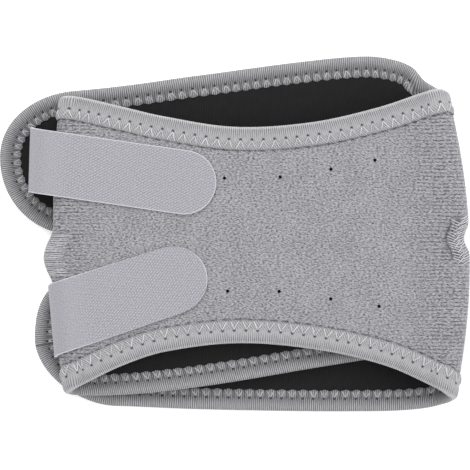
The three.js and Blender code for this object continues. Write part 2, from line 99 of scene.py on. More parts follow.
@dataclass(frozen=True)
class WrapSizes:
    """What the wrap is cut and folded to, in millimetres."""

    face: float = 0.8
    foam: float = 2.0
    tape: float = 0.7
    tape_width: float = 11.5
    clearance: float = 0.3
    front_width: float = 204.0
    front_height: float = 149.0
    front_sag: float = 1.2
    flap_length: float = 170.0
    flap_height: float = 149.0
    flap_corner: float = 16.0
    rear_length: float = 222.5
    rear_height: float = 178.0
    leg_gap: float = 8.0
    lobe_reach: float = 37.3
    lower_lobe_reach: float = 19.8
    lower_lobe_run: float = 39.8
    upper_lobe_centre: float = 38.0
    lower_lobe_centre: float = -53.0
    notch_centre: float = -12.0
    notch_width: float = 23.0
    fold_half_height: float = 78.0
    fold_top_share: float = 0.92
    fold_bottom_share: float = 1.07
    dart_height: float = 24.0
    strap_thickness: float = 1.3

    @property
    def sheet(self) -> float:
        """The thickness of the cover, the foam and what parts them."""
        return self.face + self.clearance + self.foam

    @property
    def bound(self) -> float:
        """The thickness over the tape."""
        return self.sheet + 2.0 * (self.tape + self.clearance)

    @property
    def rear_z(self) -> float:
        """The height of the middle of the rear panel."""
        return self.bound / 2.0

    @property
    def root_z(self) -> float:
        """The height of the middle of the strap roots."""
        return self.rear_z + self.bound / 2.0 + self.clearance + self.strap_thickness / 2.0

    @property
    def flap_z(self) -> float:
        """The height of the middle of the flap."""
        return self.root_z + self.strap_thickness / 2.0 + self.clearance + self.bound / 2.0

    @property
    def front_z(self) -> float:
        """The height of the middle of the front panel."""
        return self.flap_z + self.sheet + self.leg_gap

    @property
    def strap_z(self) -> float:
        """The height of the middle of a strap on the front panel."""
        return self.front_z + self.sheet / 2.0 + self.clearance + self.strap_thickness / 2.0


@dataclass(frozen=True)
class FoldBow:
    """How one fold bends in towards its ends and is pushed by its dart, in millimetres."""

    bow: float
    centre: float
    power: float
    lead: float
    side: float
    dart_push: float
    dart_centre: float
    dart_half: float

    def at(self, y: Array, half_height: float) -> Array:
        """How far the fold's face lies to the right of its straight line, at height y."""
        reach = half_height + abs(self.centre) / 2.0
        bend = self.bow * (self.lead - np.abs((y - self.centre) / reach) ** self.power)
        return self.side * (bend + self.dart_push * hump(y - self.dart_centre, self.dart_half))


@dataclass(frozen=True)
class Lobe:
    """One rounded lobe at the end of the rear panel, in millimetres."""

    centre: float
    tip: float
    edge: str
    outer_shoulder: float
    outer_power: float
    inner_shoulder: float
    inner_power: float
    notch_side: float


# The two long edges: distance along each stretch as a share of it, and heights as shares of its own height
FLAP_EDGE = ((0.0, 0.289, -0.399), (0.3, 0.302, -0.453), (0.53, 0.322, -0.4965),
             (0.75, 0.365, -0.53), (0.93, 0.42, -0.5435))
LEFT_FOLD_EDGE = ((0.5, 0.4585, -0.537),)
FRONT_EDGE = ((0.0, 0.46, -0.513), (0.13, 0.427, -0.442), (0.25, 0.394, -0.395), (0.45, 0.358, -0.3665),
              (0.66, 0.373, -0.3885), (0.85, 0.422, -0.442), (1.0, 0.477, -0.518))
RIGHT_FOLD_EDGE = ((0.25, 0.486, -0.542), (0.6, 0.477, -0.562))
REAR_EDGE = ((0.0, 0.43, -0.487), (0.03, 0.468, -0.493), (0.08, 0.491, -0.498), (0.15, 0.5, -0.5),
             (0.3, 0.485, -0.5), (0.55, 0.4465, -0.4945), (0.74, 0.414, -0.485), (1.0, 0.384, -0.478))


class FoldedWrap:
    """The wrap's flat pattern and where each of its points lies once it is folded."""

    def __init__(self, sizes: WrapSizes) -> None:
        """Works out the stretches of the pattern from its sizes.

        Args:
            sizes: what the wrap is cut and folded to.
        """
        s = self.sizes = sizes
        self.left_radius = (s.front_z - s.flap_z) / 2.0
        self.right_radius = (s.front_z - s.rear_z) / 2.0
        self.left_axis = -s.front_width / 2.0 + self.left_radius + s.sheet / 2.0
        self.right_axis = s.front_width / 2.0 - self.right_radius - s.sheet / 2.0
        self.front_run = self.right_axis - self.left_axis
        self.left_start = s.flap_length
        self.front_start = self.left_start + math.pi * self.left_radius
        self.right_start = self.front_start + self.front_run
        self.rear_start = self.right_start + math.pi * self.right_radius
        self.end = self.rear_start + s.rear_length
        self.shoulder = self.end - s.lobe_reach
        self.notch_start = self.shoulder - s.notch_width / 2.0
        self.bows = {
            Hand.LEFT: FoldBow(6.0, 0.0, 3.0, 1 / 3, -1.0, 4.8, s.notch_centre, 0.625 * s.dart_height),
            Hand.RIGHT: FoldBow(11.3, -14.0, 2.0, 1 / 5, 1.0, -2.8,
                                s.notch_centre + 0.4 * s.dart_height, s.dart_height / 3.0),
        }
        lower_tip = self.shoulder + s.lower_lobe_reach
        self.upper = Lobe(s.upper_lobe_centre, self.end, "top", self.shoulder, 2.15, self.shoulder, 2.0, 1.0)
        self.lower = Lobe(s.lower_lobe_centre, lower_tip, "bottom", lower_tip - s.lower_lobe_run, 1.8,
                          self.shoulder, 2.4, -1.0)
        stretches = (
            (FLAP_EDGE, 0.0, s.flap_length, s.flap_height),
            (LEFT_FOLD_EDGE, self.left_start, self.front_start - self.left_start,
             (s.flap_height + s.front_height) / 2.0),
            (FRONT_EDGE, self.front_start, self.front_run, s.front_height),
            (RIGHT_FOLD_EDGE, self.right_start, self.rear_start - self.right_start, s.front_height),
            (REAR_EDGE, self.rear_start, s.rear_length, s.rear_height),
        )
        rows = [(start + along * length, top * height, bottom * height)
                for table, start, length, height in stretches for along, top, bottom in table]
        self.rows = np.array(rows)
        self.outline, self.inward, self.station, self.length = self._make_outline()
        self._tree = KDTree(len(self.outline))
        for index, (along, y) in enumerate(self.outline):
            self._tree.insert((along, y, 0.0), index)
        self._tree.balance()

    def edge(self, along: Array, name: str) -> Array:
        """The height of a long edge, a smooth curve through the table's rows.

        Args:
            along: distances along the sheet.
            name: "top" or "bottom".

        Returns:
            The heights.
        """
        place, height = self.rows[:, 0], self.rows[:, 1 if name == "top" else 2]
        last = len(place) - 1
        to = np.clip(np.searchsorted(place, along, side="right"), 1, last)
        start = to - 1
        before, after = np.clip(to - 2, 0, last), np.clip(to + 1, 0, last)
        span = place[to] - place[start]
        share = np.clip((along - place[start]) / span, 0.0, 1.0)
        start_slope = (height[to] - height[before]) / (place[to] - place[before]) * span
        end_slope = (height[after] - height[start]) / (place[after] - place[start]) * span
        rise = height[to] - height[start]
        bend = (3.0 * rise - 2.0 * start_slope - end_slope) * share**2
        twist = (start_slope + end_slope - 2.0 * rise) * share**3
        return height[start] + start_slope * share + bend + twist

    def long_edge(self, lobe: Lobe, along: Array, inset: float = 0.0) -> Array:
        """The outer edge of a lobe and of the plain sheet before it, drawn in by an inset."""
        side = 1.0 if lobe.edge == "top" else -1.0
        edge = self.edge(along, lobe.edge) - side * inset
        share = (along - lobe.outer_shoulder) / (lobe.tip - inset - lobe.outer_shoulder)
        return lobe.centre + (edge - lobe.centre) * quarter(share, lobe.outer_power)

    def notch_edge(self, lobe: Lobe, along: Array, inset: float = 0.0) -> Array:
        """The edge of a lobe beside the notch, drawn in by an inset."""
        s = self.sizes
        radius = s.notch_width / 2.0 + inset
        half = radius * quarter((self.shoulder - along) / radius, 2.0)
        edge = s.notch_centre + lobe.notch_side * half
        share = (along - lobe.inner_shoulder) / (lobe.tip - inset - lobe.inner_shoulder)
        return lobe.centre + (edge - lobe.centre) * quarter(share, lobe.inner_power)

    def corner_cut(self, along: Array, inset: float = 0.0) -> Array:
        """How much the round corners of the flap take off each long edge."""
        radius = self.sizes.flap_corner - inset
        left = np.clip(self.sizes.flap_corner - along, 0.0, radius)
        return radius - np.sqrt(radius**2 - left**2)

    def fold_share(self, along: Array, fade: float = 8.0) -> Array:
        """1 in the folds, fading to 0 within some millimetres outside them."""
        left = smooth(along, self.left_start - fade, self.left_start) * (
            1.0 - smooth(along, self.front_start, self.front_start + fade))
        right = smooth(along, self.right_start - fade, self.right_start) * (
            1.0 - smooth(along, self.rear_start, self.rear_start + fade))
        return np.maximum(left, right)

    def _make_outline(self, pitch: float = 0.8) -> tuple[Array, Array, Array, float]:
        """Walks round the sheet's edge.

        Args:
            pitch: the distance between the points that it gives.

        Returns:
            The points as [along, y], the steps inwards for 1 mm, the distance round the edge at each
            point, and the whole length.
        """
        s = self.sizes
        turn = np.linspace(0.0, np.pi / 2.0, 400)
        corner = s.flap_corner * (1.0 - np.cos(turn))

        def lobe_run(lobe: Lobe, shoulder: float) -> Array:
            return shoulder + (lobe.tip - shoulder) * np.sin(turn)

        low = self.lower.outer_shoulder
        bottom = np.concatenate([corner, np.linspace(s.flap_corner, low, 6000), lobe_run(self.lower, low)])
        top = np.concatenate([corner, np.linspace(s.flap_corner, self.shoulder, 6000),
                              lobe_run(self.upper, self.shoulder)])
        notch = self.shoulder - s.notch_width / 2.0 * np.cos(turn)
        lower_in = np.concatenate([notch, lobe_run(self.lower, self.shoulder)])
        upper_in = np.concatenate([notch, lobe_run(self.upper, self.shoulder)])
        parts = [
            np.stack([bottom, self.long_edge(self.lower, bottom) + self.corner_cut(bottom)], axis=1),
            np.stack([lower_in, self.notch_edge(self.lower, lower_in)], axis=1)[::-1],
            np.stack([upper_in, self.notch_edge(self.upper, upper_in)], axis=1),
            np.stack([top, self.long_edge(self.upper, top) - self.corner_cut(top)], axis=1)[::-1],
        ]
        dense = np.concatenate(parts)
        dense = np.concatenate([dense, dense[:1]])
        step = np.hypot(*np.diff(dense, axis=0).T)
        keep = np.concatenate([[True], step > 1e-7])
        dense = dense[keep]
        run = np.concatenate([[0.0], np.cumsum(np.hypot(*np.diff(dense, axis=0).T))])
        count = int(run[-1] / pitch)
        station = np.arange(count) * run[-1] / count
        points = np.stack([np.interp(station, run, dense[:, axis]) for axis in (0, 1)], axis=1)
        tangent = np.roll(points, -2, axis=0) - np.roll(points, 2, axis=0)
        tangent /= np.linalg.norm(tangent, axis=1, keepdims=True)
        normal = np.stack([-tangent[:, 1], tangent[:, 0]], axis=1)
        flat = np.where(np.abs(tangent[:, 0]) > 0.2, tangent[:, 0], 1.0)
        across = np.stack([np.zeros(count), 1.0 / flat], axis=1)
        share = self.fold_share(points[:, 0])[:, None]
        return points, normal * (1.0 - share) + across * share, station, float(run[-1])

    def sag(self, share: Array) -> Array:
        """How far the front panel sags between its folds, at a share of its run."""
        return self.sizes.front_sag * np.sin(np.pi * np.clip(share, 0.0, 1.0)) ** 2

    def bow(self, along: Array, y: Array) -> Array:
        """How far the bow of the folds moves the sheet to the right."""
        s = self.sizes
        fold_y = np.clip(y, -s.fold_bottom_share * s.fold_half_height, s.fold_top_share * s.fold_half_height)
        front = np.clip((along - self.front_start) / self.front_run, 0.0, 1.0)
        flap = np.clip(along / s.flap_length, 0.0, 1.0)
        rear = np.clip((along - self.rear_start) / (s.rear_length / 2.0), 0.0, 1.0)
        left = self.bows[Hand.LEFT].at(fold_y, s.fold_half_height)
        right = self.bows[Hand.RIGHT].at(fold_y, s.fold_half_height)
        return left * flap * (1.0 - front) + right * front * (1.0 - rear)

    def section(self, along: Array) -> tuple[Array, Array, Array, Array]:
        """The middle of the folded sheet and the way that its grey face looks.

        Args:
            along: distances along the sheet.

        Returns:
            x, z, and the x and z of the outward direction.
        """
        s = self.sizes
        turn_left = np.clip(along - self.left_start, 0.0, np.pi * self.left_radius) / self.left_radius
        turn_right = np.clip(along - self.right_start, 0.0, np.pi * self.right_radius) / self.right_radius
        share = np.clip((along - self.front_start) / self.front_run, 0.0, 1.0)
        slope = s.front_sag * np.pi * np.sin(2.0 * np.pi * share) / self.front_run
        slant = np.hypot(1.0, slope)
        where = [along < self.left_start, along < self.front_start, along < self.right_start,
                 along < self.rear_start]
        flat = np.zeros_like(along)
        x = np.select(where, [self.left_axis + self.left_start - along,
                              self.left_axis - self.left_radius * np.sin(turn_left),
                              self.left_axis + self.front_run * share,
                              self.right_axis + self.right_radius * np.sin(turn_right)],
                      self.right_axis - (along - self.rear_start))
        z = np.select(where, [flat + s.flap_z,
                              (s.flap_z + s.front_z) / 2.0 - self.left_radius * np.cos(turn_left),
                              s.front_z - self.sag(share),
                              (s.rear_z + s.front_z) / 2.0 + self.right_radius * np.cos(turn_right)],
                      flat + s.rear_z)
        out_x = np.select(where, [flat, -np.sin(turn_left), slope / slant, np.sin(turn_right)], flat)
        out_z = np.select(where, [flat - 1.0, -np.cos(turn_left), 1.0 / slant, np.cos(turn_right)],
                          flat - 1.0)
        return x, z, out_x, out_z

    def place(self, along: Array, y: Array, out: Array) -> Array:
        """The folded place of points of the sheet, in the model's frame and in metres.

        Args:
            along: distances along the sheet from the flap's free end, in millimetres.
            y: heights along the leg, in millimetres.
            out: distances from the sheet's middle towards its grey face, in millimetres.

        Returns:
            The places, one row of x, y and z each.
        """
        x, z, out_x, out_z = self.section(along)
        x = x + self.bow(along, y) + out * out_x
        return np.stack([x + CENTRE_X, y + CENTRE_Y, z + out * out_z], axis=-1) * MM

    def nearest_edge(self, along: Array, y: Array) -> tuple[Array, Array]:
        """The distance from points of the sheet to its edge, and the distance round the edge there."""
        distance, station = np.empty(along.size), np.empty(along.size)
        for index, (a, b) in enumerate(zip(along.ravel(), y.ravel())):
            _, found, gap = self._tree.find((a, b, 0.0))
            distance[index], station[index] = gap, self.station[found]
        return distance.reshape(along.shape), station.reshape(along.shape)

    def from_edge(self, station: Array, inward: Array) -> tuple[Array, Array]:
        """The point of the sheet at a distance round its edge and a distance in from it.

        Args:
            station: distances round the edge, in millimetres, which may run past its whole length.
            inward: distances in from the edge, in millimetres.

        Returns:
            The distances along the sheet and the heights.
        """
        run = np.append(self.station, self.length)
        at = np.mod(station, self.length)

        def read(values: Array) -> Array:
            return np.interp(at, run, np.append(values, values[0]))

        along = read(self.outline[:, 0]) + read(self.inward[:, 0]) * inward
        return along, read(self.outline[:, 1]) + read(self.inward[:, 1]) * inward

    def outward(self, along: Array, y: Array, out: Array) -> Array:
        """The direction in which the grey face looks at points of the folded sheet."""
        step = self.place(along, y, out + 1.0) - self.place(along, y, out)
        return step / np.linalg.norm(step, axis=-1, keepdims=True)


# ---- Bench tools that the pieces share ----


def linear(code: str) -> tuple[float, float, float, float]:
    """A colour as linear light, from its sRGB hex code such as #a3a2a6."""
    parts = [int(code[at : at + 2], 16) / 255.0 for at in (1, 3, 5)]
    light = [part / 12.92 if part <= 0.04045 else ((part + 0.055) / 1.055) ** 2.4 for part in parts]
    return light[0], light[1], light[2], 1.0


def add_node(tree: bpy.types.NodeTree, kind: str, inputs: Sequence | dict = (), output: str | int = 0,
             **settings: str) -> Socket:
    """Adds a node with its settings and links.

    Args:
        tree: the material's node tree.
        kind: the node's type, without the ShaderNode that it starts with.
        inputs: values and sockets for its inputs, in order, or by name or index.
        output: the output that is wanted.
        settings: values for the node's own properties.

    Returns:
        The output's socket.
    """
    made = tree.nodes.new(f"ShaderNode{kind}")
    for name, value in settings.items():
        setattr(made, name, value)
    for name, value in (inputs if isinstance(inputs, dict) else dict(enumerate(inputs))).items():
        if isinstance(value, Socket):
            tree.links.new(value, made.inputs[name])
        else:
            made.inputs[name].default_value = value
    return made.outputs[output]


def start_material(name: str, shader: dict) -> tuple[bpy.types.Material, AddNode]:
    """A new material with one shader.

    Args:
        name: the finish it shows.
        shader: values for the shader's inputs that are the same all over.

    Returns:
        The material, and the function that adds nodes to it.
    """
    material = bpy.data.materials.new(name)
    material.use_nodes = True
    for key, value in shader.items():
        material.node_tree.nodes[SHADER].inputs[key].default_value = value
    return material, partial(add_node, material.node_tree)


def end_material(material: bpy.types.Material, color: Socket, height: Socket | None = None,
                 depth: float = 0.0, strength: float = 1.0) -> bpy.types.Material:
    """Gives a material its colour and its relief.

    Args:
        material: the material, with its one shader.
        color: its colour.
        height: its relief, as a share.
        depth: how deep the whole relief is, in millimetres.
        strength: how strongly the relief shows.

    Returns:
        The material.
    """
    tree = material.node_tree
    tree.links.new(color, tree.nodes[SHADER].inputs["Base Color"])
    if height is not None:
        relief = {"Strength": strength, "Distance": depth * MM, "Height": height}
        tree.links.new(add_node(tree, "Bump", relief), tree.nodes[SHADER].inputs["Normal"])
    return material


def deselect() -> None:
    """Leaves nothing selected, so that an operator acts on the new piece alone."""
    bpy.ops.object.select_all(action="DESELECT")


def make_active(piece: Piece) -> None:
    """Selects a piece alone and makes it the active one."""
    deselect()
    piece.select_set(True)
    bpy.context.view_layer.objects.active = piece


def start_grid(name: str, columns: int, rows: int) -> tuple[Piece, Array, Array]:
    """A flat grid of cloth, ready to be laid in place.

    Args:
        name: the piece's name.
        columns: cells along it.
        rows: cells across it.

    Returns:
        The piece, and the column and the row of each of its points.
    """
    deselect()
    bpy.ops.mesh.primitive_grid_add(x_subdivisions=columns, y_subdivisions=rows, size=2.0)
    piece = bpy.context.active_object
    piece.name = piece.data.name = name
    count = len(piece.data.vertices)
    places = np.empty(count * 3)
    piece.data.vertices.foreach_get("co", places)
    places = places.reshape(-1, 3)
    column = np.rint((places[:, 0] + 1.0) / 2.0 * columns).astype(int)
    row = np.rint((places[:, 1] + 1.0) / 2.0 * rows).astype(int)
    return piece, column, row


def lay(piece: Piece, places: Array) -> None:
    """Moves each point of a piece to its place, in metres."""
    piece.data.vertices.foreach_set("co", places.astype(np.float32).ravel())
    piece.data.update()


def write_cut_map(piece: Piece, across: Array, up: Array) -> None:
    """Gives a piece a UV map named cut, from a value for each of its points, in metres."""
    mesh = piece.data
    corners = np.empty(len(mesh.loops), dtype=np.int64)
    mesh.loops.foreach_get("vertex_index", corners)
    while mesh.uv_layers:
        mesh.uv_layers.remove(mesh.uv_layers[0])
    layer = mesh.uv_layers.new(name="cut")
    layer.data.foreach_set("uv", np.stack([across[corners], up[corners]], axis=1).astype(np.float32).ravel())


def write_values(piece: Piece, name: str, values: Array) -> None:
    """Gives a piece a named value for each of its points, which its finish reads."""
    layer = piece.data.attributes.new(name, "FLOAT", "POINT")
    layer.data.foreach_set("value", values.astype(np.float32).ravel())


def delete_faces(piece: Piece, chosen: Array) -> None:
    """Deletes the chosen faces of a piece, and closes what then meets at a point."""
    make_active(piece)
    mesh = piece.data
    bpy.context.tool_settings.mesh_select_mode = (False, False, True)
    mesh.vertices.foreach_set("select", np.zeros(len(mesh.vertices), dtype=bool))
    mesh.edges.foreach_set("select", np.zeros(len(mesh.edges), dtype=bool))
    mesh.polygons.foreach_set("select", chosen)
    bpy.ops.object.mode_set(mode="EDIT")
    bpy.ops.mesh.delete(type="ONLY_FACE")
    bpy.context.tool_settings.mesh_select_mode = (True, False, False)
    bpy.ops.mesh.select_all(action="SELECT")
    bpy.ops.mesh.remove_doubles(threshold=2e-6)
    bpy.ops.mesh.dissolve_degenerate(threshold=1e-6)
    bpy.ops.mesh.select_all(action="DESELECT")
    bpy.ops.object.mode_set(mode="OBJECT")


def face_outwards(piece: Piece) -> None:
    """Turns all the faces of a closed piece outwards."""
    make_active(piece)
    bpy.ops.object.mode_set(mode="EDIT")
    bpy.ops.mesh.select_all(action="SELECT")
    bpy.ops.mesh.normals_make_consistent(inside=False)
    bpy.ops.mesh.select_all(action="DESELECT")
    bpy.ops.object.mode_set(mode="OBJECT")


def thicken(piece: Piece, thickness: float) -> None:
    """Gives a sheet its thickness in millimetres, half to each side, and applies it."""
    make_active(piece)
    wall = piece.modifiers.new("wall", "SOLIDIFY")
    wall.thickness = thickness * MM
    wall.offset = 0.0
    wall.use_even_offset = True
    bpy.ops.object.modifier_apply(modifier=wall.name)


def cut(piece: Piece, cutter: Piece) -> None:
    """Cuts one piece with another and applies it."""
    make_active(piece)
    holes = piece.modifiers.new("holes", "BOOLEAN")
    holes.operation = "DIFFERENCE"
    holes.solver = "EXACT"
    holes.object = cutter
    bpy.ops.object.modifier_apply(modifier=holes.name)


def shade(piece: Piece, angle: float = 40.0) -> None:
    """Shades a piece smooth over edges that turn by less than an angle in degrees."""
    make_active(piece)
    bpy.ops.object.shade_smooth_by_angle(angle=math.radians(angle))


def hand_over(piece: Piece, material: bpy.types.Material, node: str = "") -> Piece:
    """Gives a piece its material and body, and hides the solid that it dresses.

    Args:
        piece: the piece.
        material: its only material.
        node: the solid that it stands for, if any.

    Returns:
        The piece.
    """
    piece.data.materials.clear()
    piece.data.materials.append(material)
    if node:
        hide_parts(node)
    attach(piece, "root")
    return piece


@dataclass(frozen=True)
class ThreadSizes:
    """A sewing thread as it is modelled, in millimetres."""

    diameter: float = 0.6
    sides: int = 6
    rings: int = 5


def sew(name: str, centres: Array, normals: Array, sizes: ThreadSizes) -> Piece:
    """Lays one length of thread along each of many short paths, as one piece.

    Args:
        name: the piece's name.
        centres: the middle of the thread, one row of points for each path, in metres.
        normals: the way that the cloth under each point looks.
        sizes: the thread.

    Returns:
        The piece.
    """
    deselect()
    bpy.ops.mesh.primitive_cylinder_add(vertices=sizes.sides, radius=1.0, depth=2.0, end_fill_type="NGON")
    piece = bpy.context.active_object
    piece.name = piece.data.name = name
    bpy.ops.object.mode_set(mode="EDIT")
    for ring in range(1, sizes.rings - 1):
        height = 2.0 * ring / (sizes.rings - 1) - 1.0
        bpy.ops.mesh.select_all(action="SELECT")
        bpy.ops.mesh.bisect(plane_co=(0.0, 0.0, height), plane_no=(0.0, 0.0, 1.0))
    bpy.ops.mesh.select_all(action="SELECT")
    bpy.ops.mesh.normals_make_consistent(inside=False)
    bpy.ops.mesh.select_all(action="DESELECT")
    bpy.ops.object.mode_set(mode="OBJECT")
    mesh = piece.data
    shape = np.array([vertex.co[:] for vertex in mesh.vertices])
    ring = np.rint((shape[:, 2] + 1.0) / 2.0 * (sizes.rings - 1)).astype(int)
    faces = [list(face.vertices) for face in mesh.polygons]

    tangent = np.gradient(centres, axis=1)
    tangent /= np.linalg.norm(tangent, axis=-1, keepdims=True)
    side = np.cross(tangent, normals)
    side /= np.linalg.norm(side, axis=-1, keepdims=True)
    up = np.cross(side, tangent)
    taper = np.ones(sizes.rings)
    taper[[0, -1]] = 0.55
    radius = sizes.diameter / 2.0 * MM * taper[ring]
    places = (centres[:, ring] + side[:, ring] * (shape[:, 0] * radius)[None, :, None]
              + up[:, ring] * (shape[:, 1] * radius)[None, :, None])
    paths, points = places.shape[:2]
    turns = np.tile(ring / (sizes.rings - 1), paths)
    tones = np.repeat(np.random.default_rng(5).uniform(0.0, 1.0, paths), points)
    all_faces = [[corner + path * points for corner in face] for path in range(paths) for face in faces]
    mesh.clear_geometry()
    mesh.from_pydata(places.reshape(-1, 3).tolist(), [], all_faces)
    mesh.update()
    write_values(piece, "thread_run", turns)
    write_values(piece, "thread_tone", tones)
    face_outwards(piece)
    shade(piece, 80.0)
    return piece


# ---- Finishes ----


def cut_in_mm(add: AddNode) -> Socket:
    """The place on the flat cloth, in millimetres, from the piece's cut map."""
    return add("VectorMath", {0: add("UVMap", uv_map="cut"), "Scale": 1.0 / MM}, operation="SCALE")


def stretched(add: AddNode, place: Socket, scale: tuple[float, float, float], turn: float = 0.0) -> Socket:
    """A place turned by some degrees and then scaled, for a pattern with a grain."""
    turned = add("VectorRotate", {"Vector": place, "Angle": math.radians(turn)}, rotation_type="Z_AXIS")
    return add("VectorMath", (turned, scale), operation="MULTIPLY")


def product(add: AddNode, first: Socket, *others: Term) -> Socket:
    """A socket times other sockets and numbers."""
    for other in others:
        first = add("Math", (first, other), operation="MULTIPLY")
    return first


def weighted(add: AddNode, base: Term, *terms: tuple[Socket, Term]) -> Socket:
    """A base, and sockets added to it, each times its weight."""
    for socket, weight in terms:
        base = add("Math", (socket, weight, base), operation="MULTIPLY_ADD")
    return base


def apart(add: AddNode, value: Socket, other: float) -> Socket:
    """How far a value is from a number."""
    return add("Math", (add("Math", (value, other), operation="SUBTRACT"),), operation="ABSOLUTE")


def ripple(add: AddNode, value: Socket, period: float, shift: Term = 0.0) -> Socket:
    """A wave from -1 to 1 along a value, shifted by some radians."""
    turn = add("Math", (value, 2.0 * math.pi / period, shift), operation="MULTIPLY_ADD")
    return add("Math", (turn,), operation="SINE")


def towards(add: AddNode, color: Socket | str, code: str, value: Socket, start: float = 0.0,
            end: float = 1.0, most: float = 1.0) -> Socket:
    """A colour taken towards a hex colour.

    Args:
        add: adds nodes to the material.
        color: the colour, or its hex code.
        code: the hex colour.
        value: what decides how far.
        start: the value at which the colour stays as it is.
        end: the value at which it goes all its way.
        most: how far that is, as a share.

    Returns:
        The colour.
    """
    share = add("MapRange", (value, start, end, 0.0, most))
    low = linear(color) if isinstance(color, str) else color
    return add("Mix", {0: share, 6: low, 7: linear(code)}, 2, data_type="RGBA")


@dataclass(frozen=True)
class LoopKnit:
    """Brushed nylon loop knit, laminated to foam: matt, mottled by its loops, in faint level courses."""

    name: str = "brushed_loop_knit"
    light: str = "#adacb1"
    dark: str = "#6f6e72"
    deep: str = "#4a494e"
    # Painted shade for the crease beside the edge tape, and how far in from the edge it lies
    crease_shade: str = "#3c3b3f"
    loop_width: float = 1.35
    loop_height: float = 0.6
    lean: float = 28.0
    course: float = 1.8
    crease_gap: float = 11.95
    stitch: float = 5.6

    def material(self) -> bpy.types.Material:
        """The finish as a material. Its 0.5 mm loops are drawn at 0.6 by 1.35 mm, or they would not show."""
        material, add = start_material(self.name, {
            "Roughness": 0.95, "Sheen Weight": 0.45, "Sheen Roughness": 0.35, "IOR": 1.45,
            "Specular IOR Level": 0.15})
        place = cut_in_mm(add)
        grain = (1.0 / self.loop_width, 1.0 / self.loop_height, 1.0)
        loops = add("TexNoise", {"Vector": stretched(add, place, grain), "Scale": 1.0, "Detail": 1.0,
                                 "Roughness": 0.6})
        slanted = add("TexNoise", {"Vector": stretched(add, place, grain, self.lean), "Scale": 1.15,
                                   "Detail": 0.0})
        cloud = add("TexNoise", {"Vector": place, "Scale": 0.09, "Detail": 2.0})
        pile = weighted(add, -0.05, (slanted, 0.4), (loops, 0.6), (cloud, 0.1))
        row = self._courses(add, place)
        darted = add("Attribute", output="Fac", attribute_name="darted")
        color = towards(add, self.dark, self.light, pile, 0.36, 0.62)
        color = towards(add, color, self.deep, loops, 0.36, 0.28, 0.9)
        color = towards(add, color, self.deep, row, most=0.75)
        color = towards(add, color, self.deep, darted, 0.0, 1.2, 0.84)
        # Painted shade: a broken dark line in the crease along the edge tape's inner edge
        color = towards(add, color, self.crease_shade, self._painted_crease_line(add, place), most=0.75)
        return end_material(material, color, weighted(add, pile, (row, -0.3)), 0.8, 0.9)

    def _painted_crease_line(self, add: AddNode, place: Socket) -> Socket:
        """Painted shade: the broken dark line in the crease where the cloth dips under the edge tape between
        its stitches.
        """
        gap = add("Attribute", output="Fac", attribute_name="edge_gap")
        run = add("Attribute", output="Fac", attribute_name="edge_run")
        line = add("MapRange", (apart(add, gap, self.crease_gap), 0.25, 0.75, 1.0, 0.0))
        blot = add("TexNoise", {"Vector": place, "Scale": 0.7, "Detail": 1.0})
        share = weighted(add, blot, (ripple(add, run, self.stitch), 0.18))
        return product(add, line, add("MapRange", (share, 0.3, 0.75)))

    def _courses(self, add: AddNode, place: Socket) -> Socket:
        """The dark rows between the knit's courses, which open in broken lines where the cloth is bent."""
        up = add("SeparateXYZ", (place,), "Y")
        sway = add("TexNoise", {"Vector": place, "Scale": 0.06, "Detail": 1.0})
        wave = ripple(add, up, self.course, product(add, sway, 5.0))
        breaks = add("TexNoise", {"Vector": stretched(add, place, (0.45, 1.0 / self.course, 1.0)),
                                  "Scale": 1.0, "Detail": 1.0})
        return product(add, add("MapRange", (wave, 0.25, 0.9)), add("MapRange", (breaks, 0.36, 0.58)),
                       add("Attribute", output="Fac", attribute_name="bent"))


@dataclass(frozen=True)
class BlackJersey:
    """Black nylon jersey on foam: a close, slightly shiny knit with fine upright ribs."""

    name: str = "black_jersey_lining"
    light: str = "#1e1e20"
    dark: str = "#131314"
    rib: float = 1.2

    def material(self) -> bpy.types.Material:
        """The finish as a material. Its 0.4 mm ribs are drawn at 1.2 mm so that they show."""
        material, add = start_material(self.name, {
            "Roughness": 0.8, "Sheen Weight": 0.03, "Sheen Roughness": 0.4, "Specular IOR Level": 0.2})
        place = cut_in_mm(add)
        ribs = add("TexWave", {"Vector": place, "Scale": RIB_SCALE / self.rib, "Distortion": 1.5,
                               "Detail": 2.0, "Detail Scale": 2.0}, "Fac")
        cloud = add("TexNoise", {"Vector": place, "Scale": 0.25, "Detail": 3.0})
        pile = weighted(add, 0.0, (cloud, 0.5), (ribs, 0.5))
        return end_material(material, towards(add, self.dark, self.light, pile, 0.2, 0.8), pile, 0.25, 0.6)


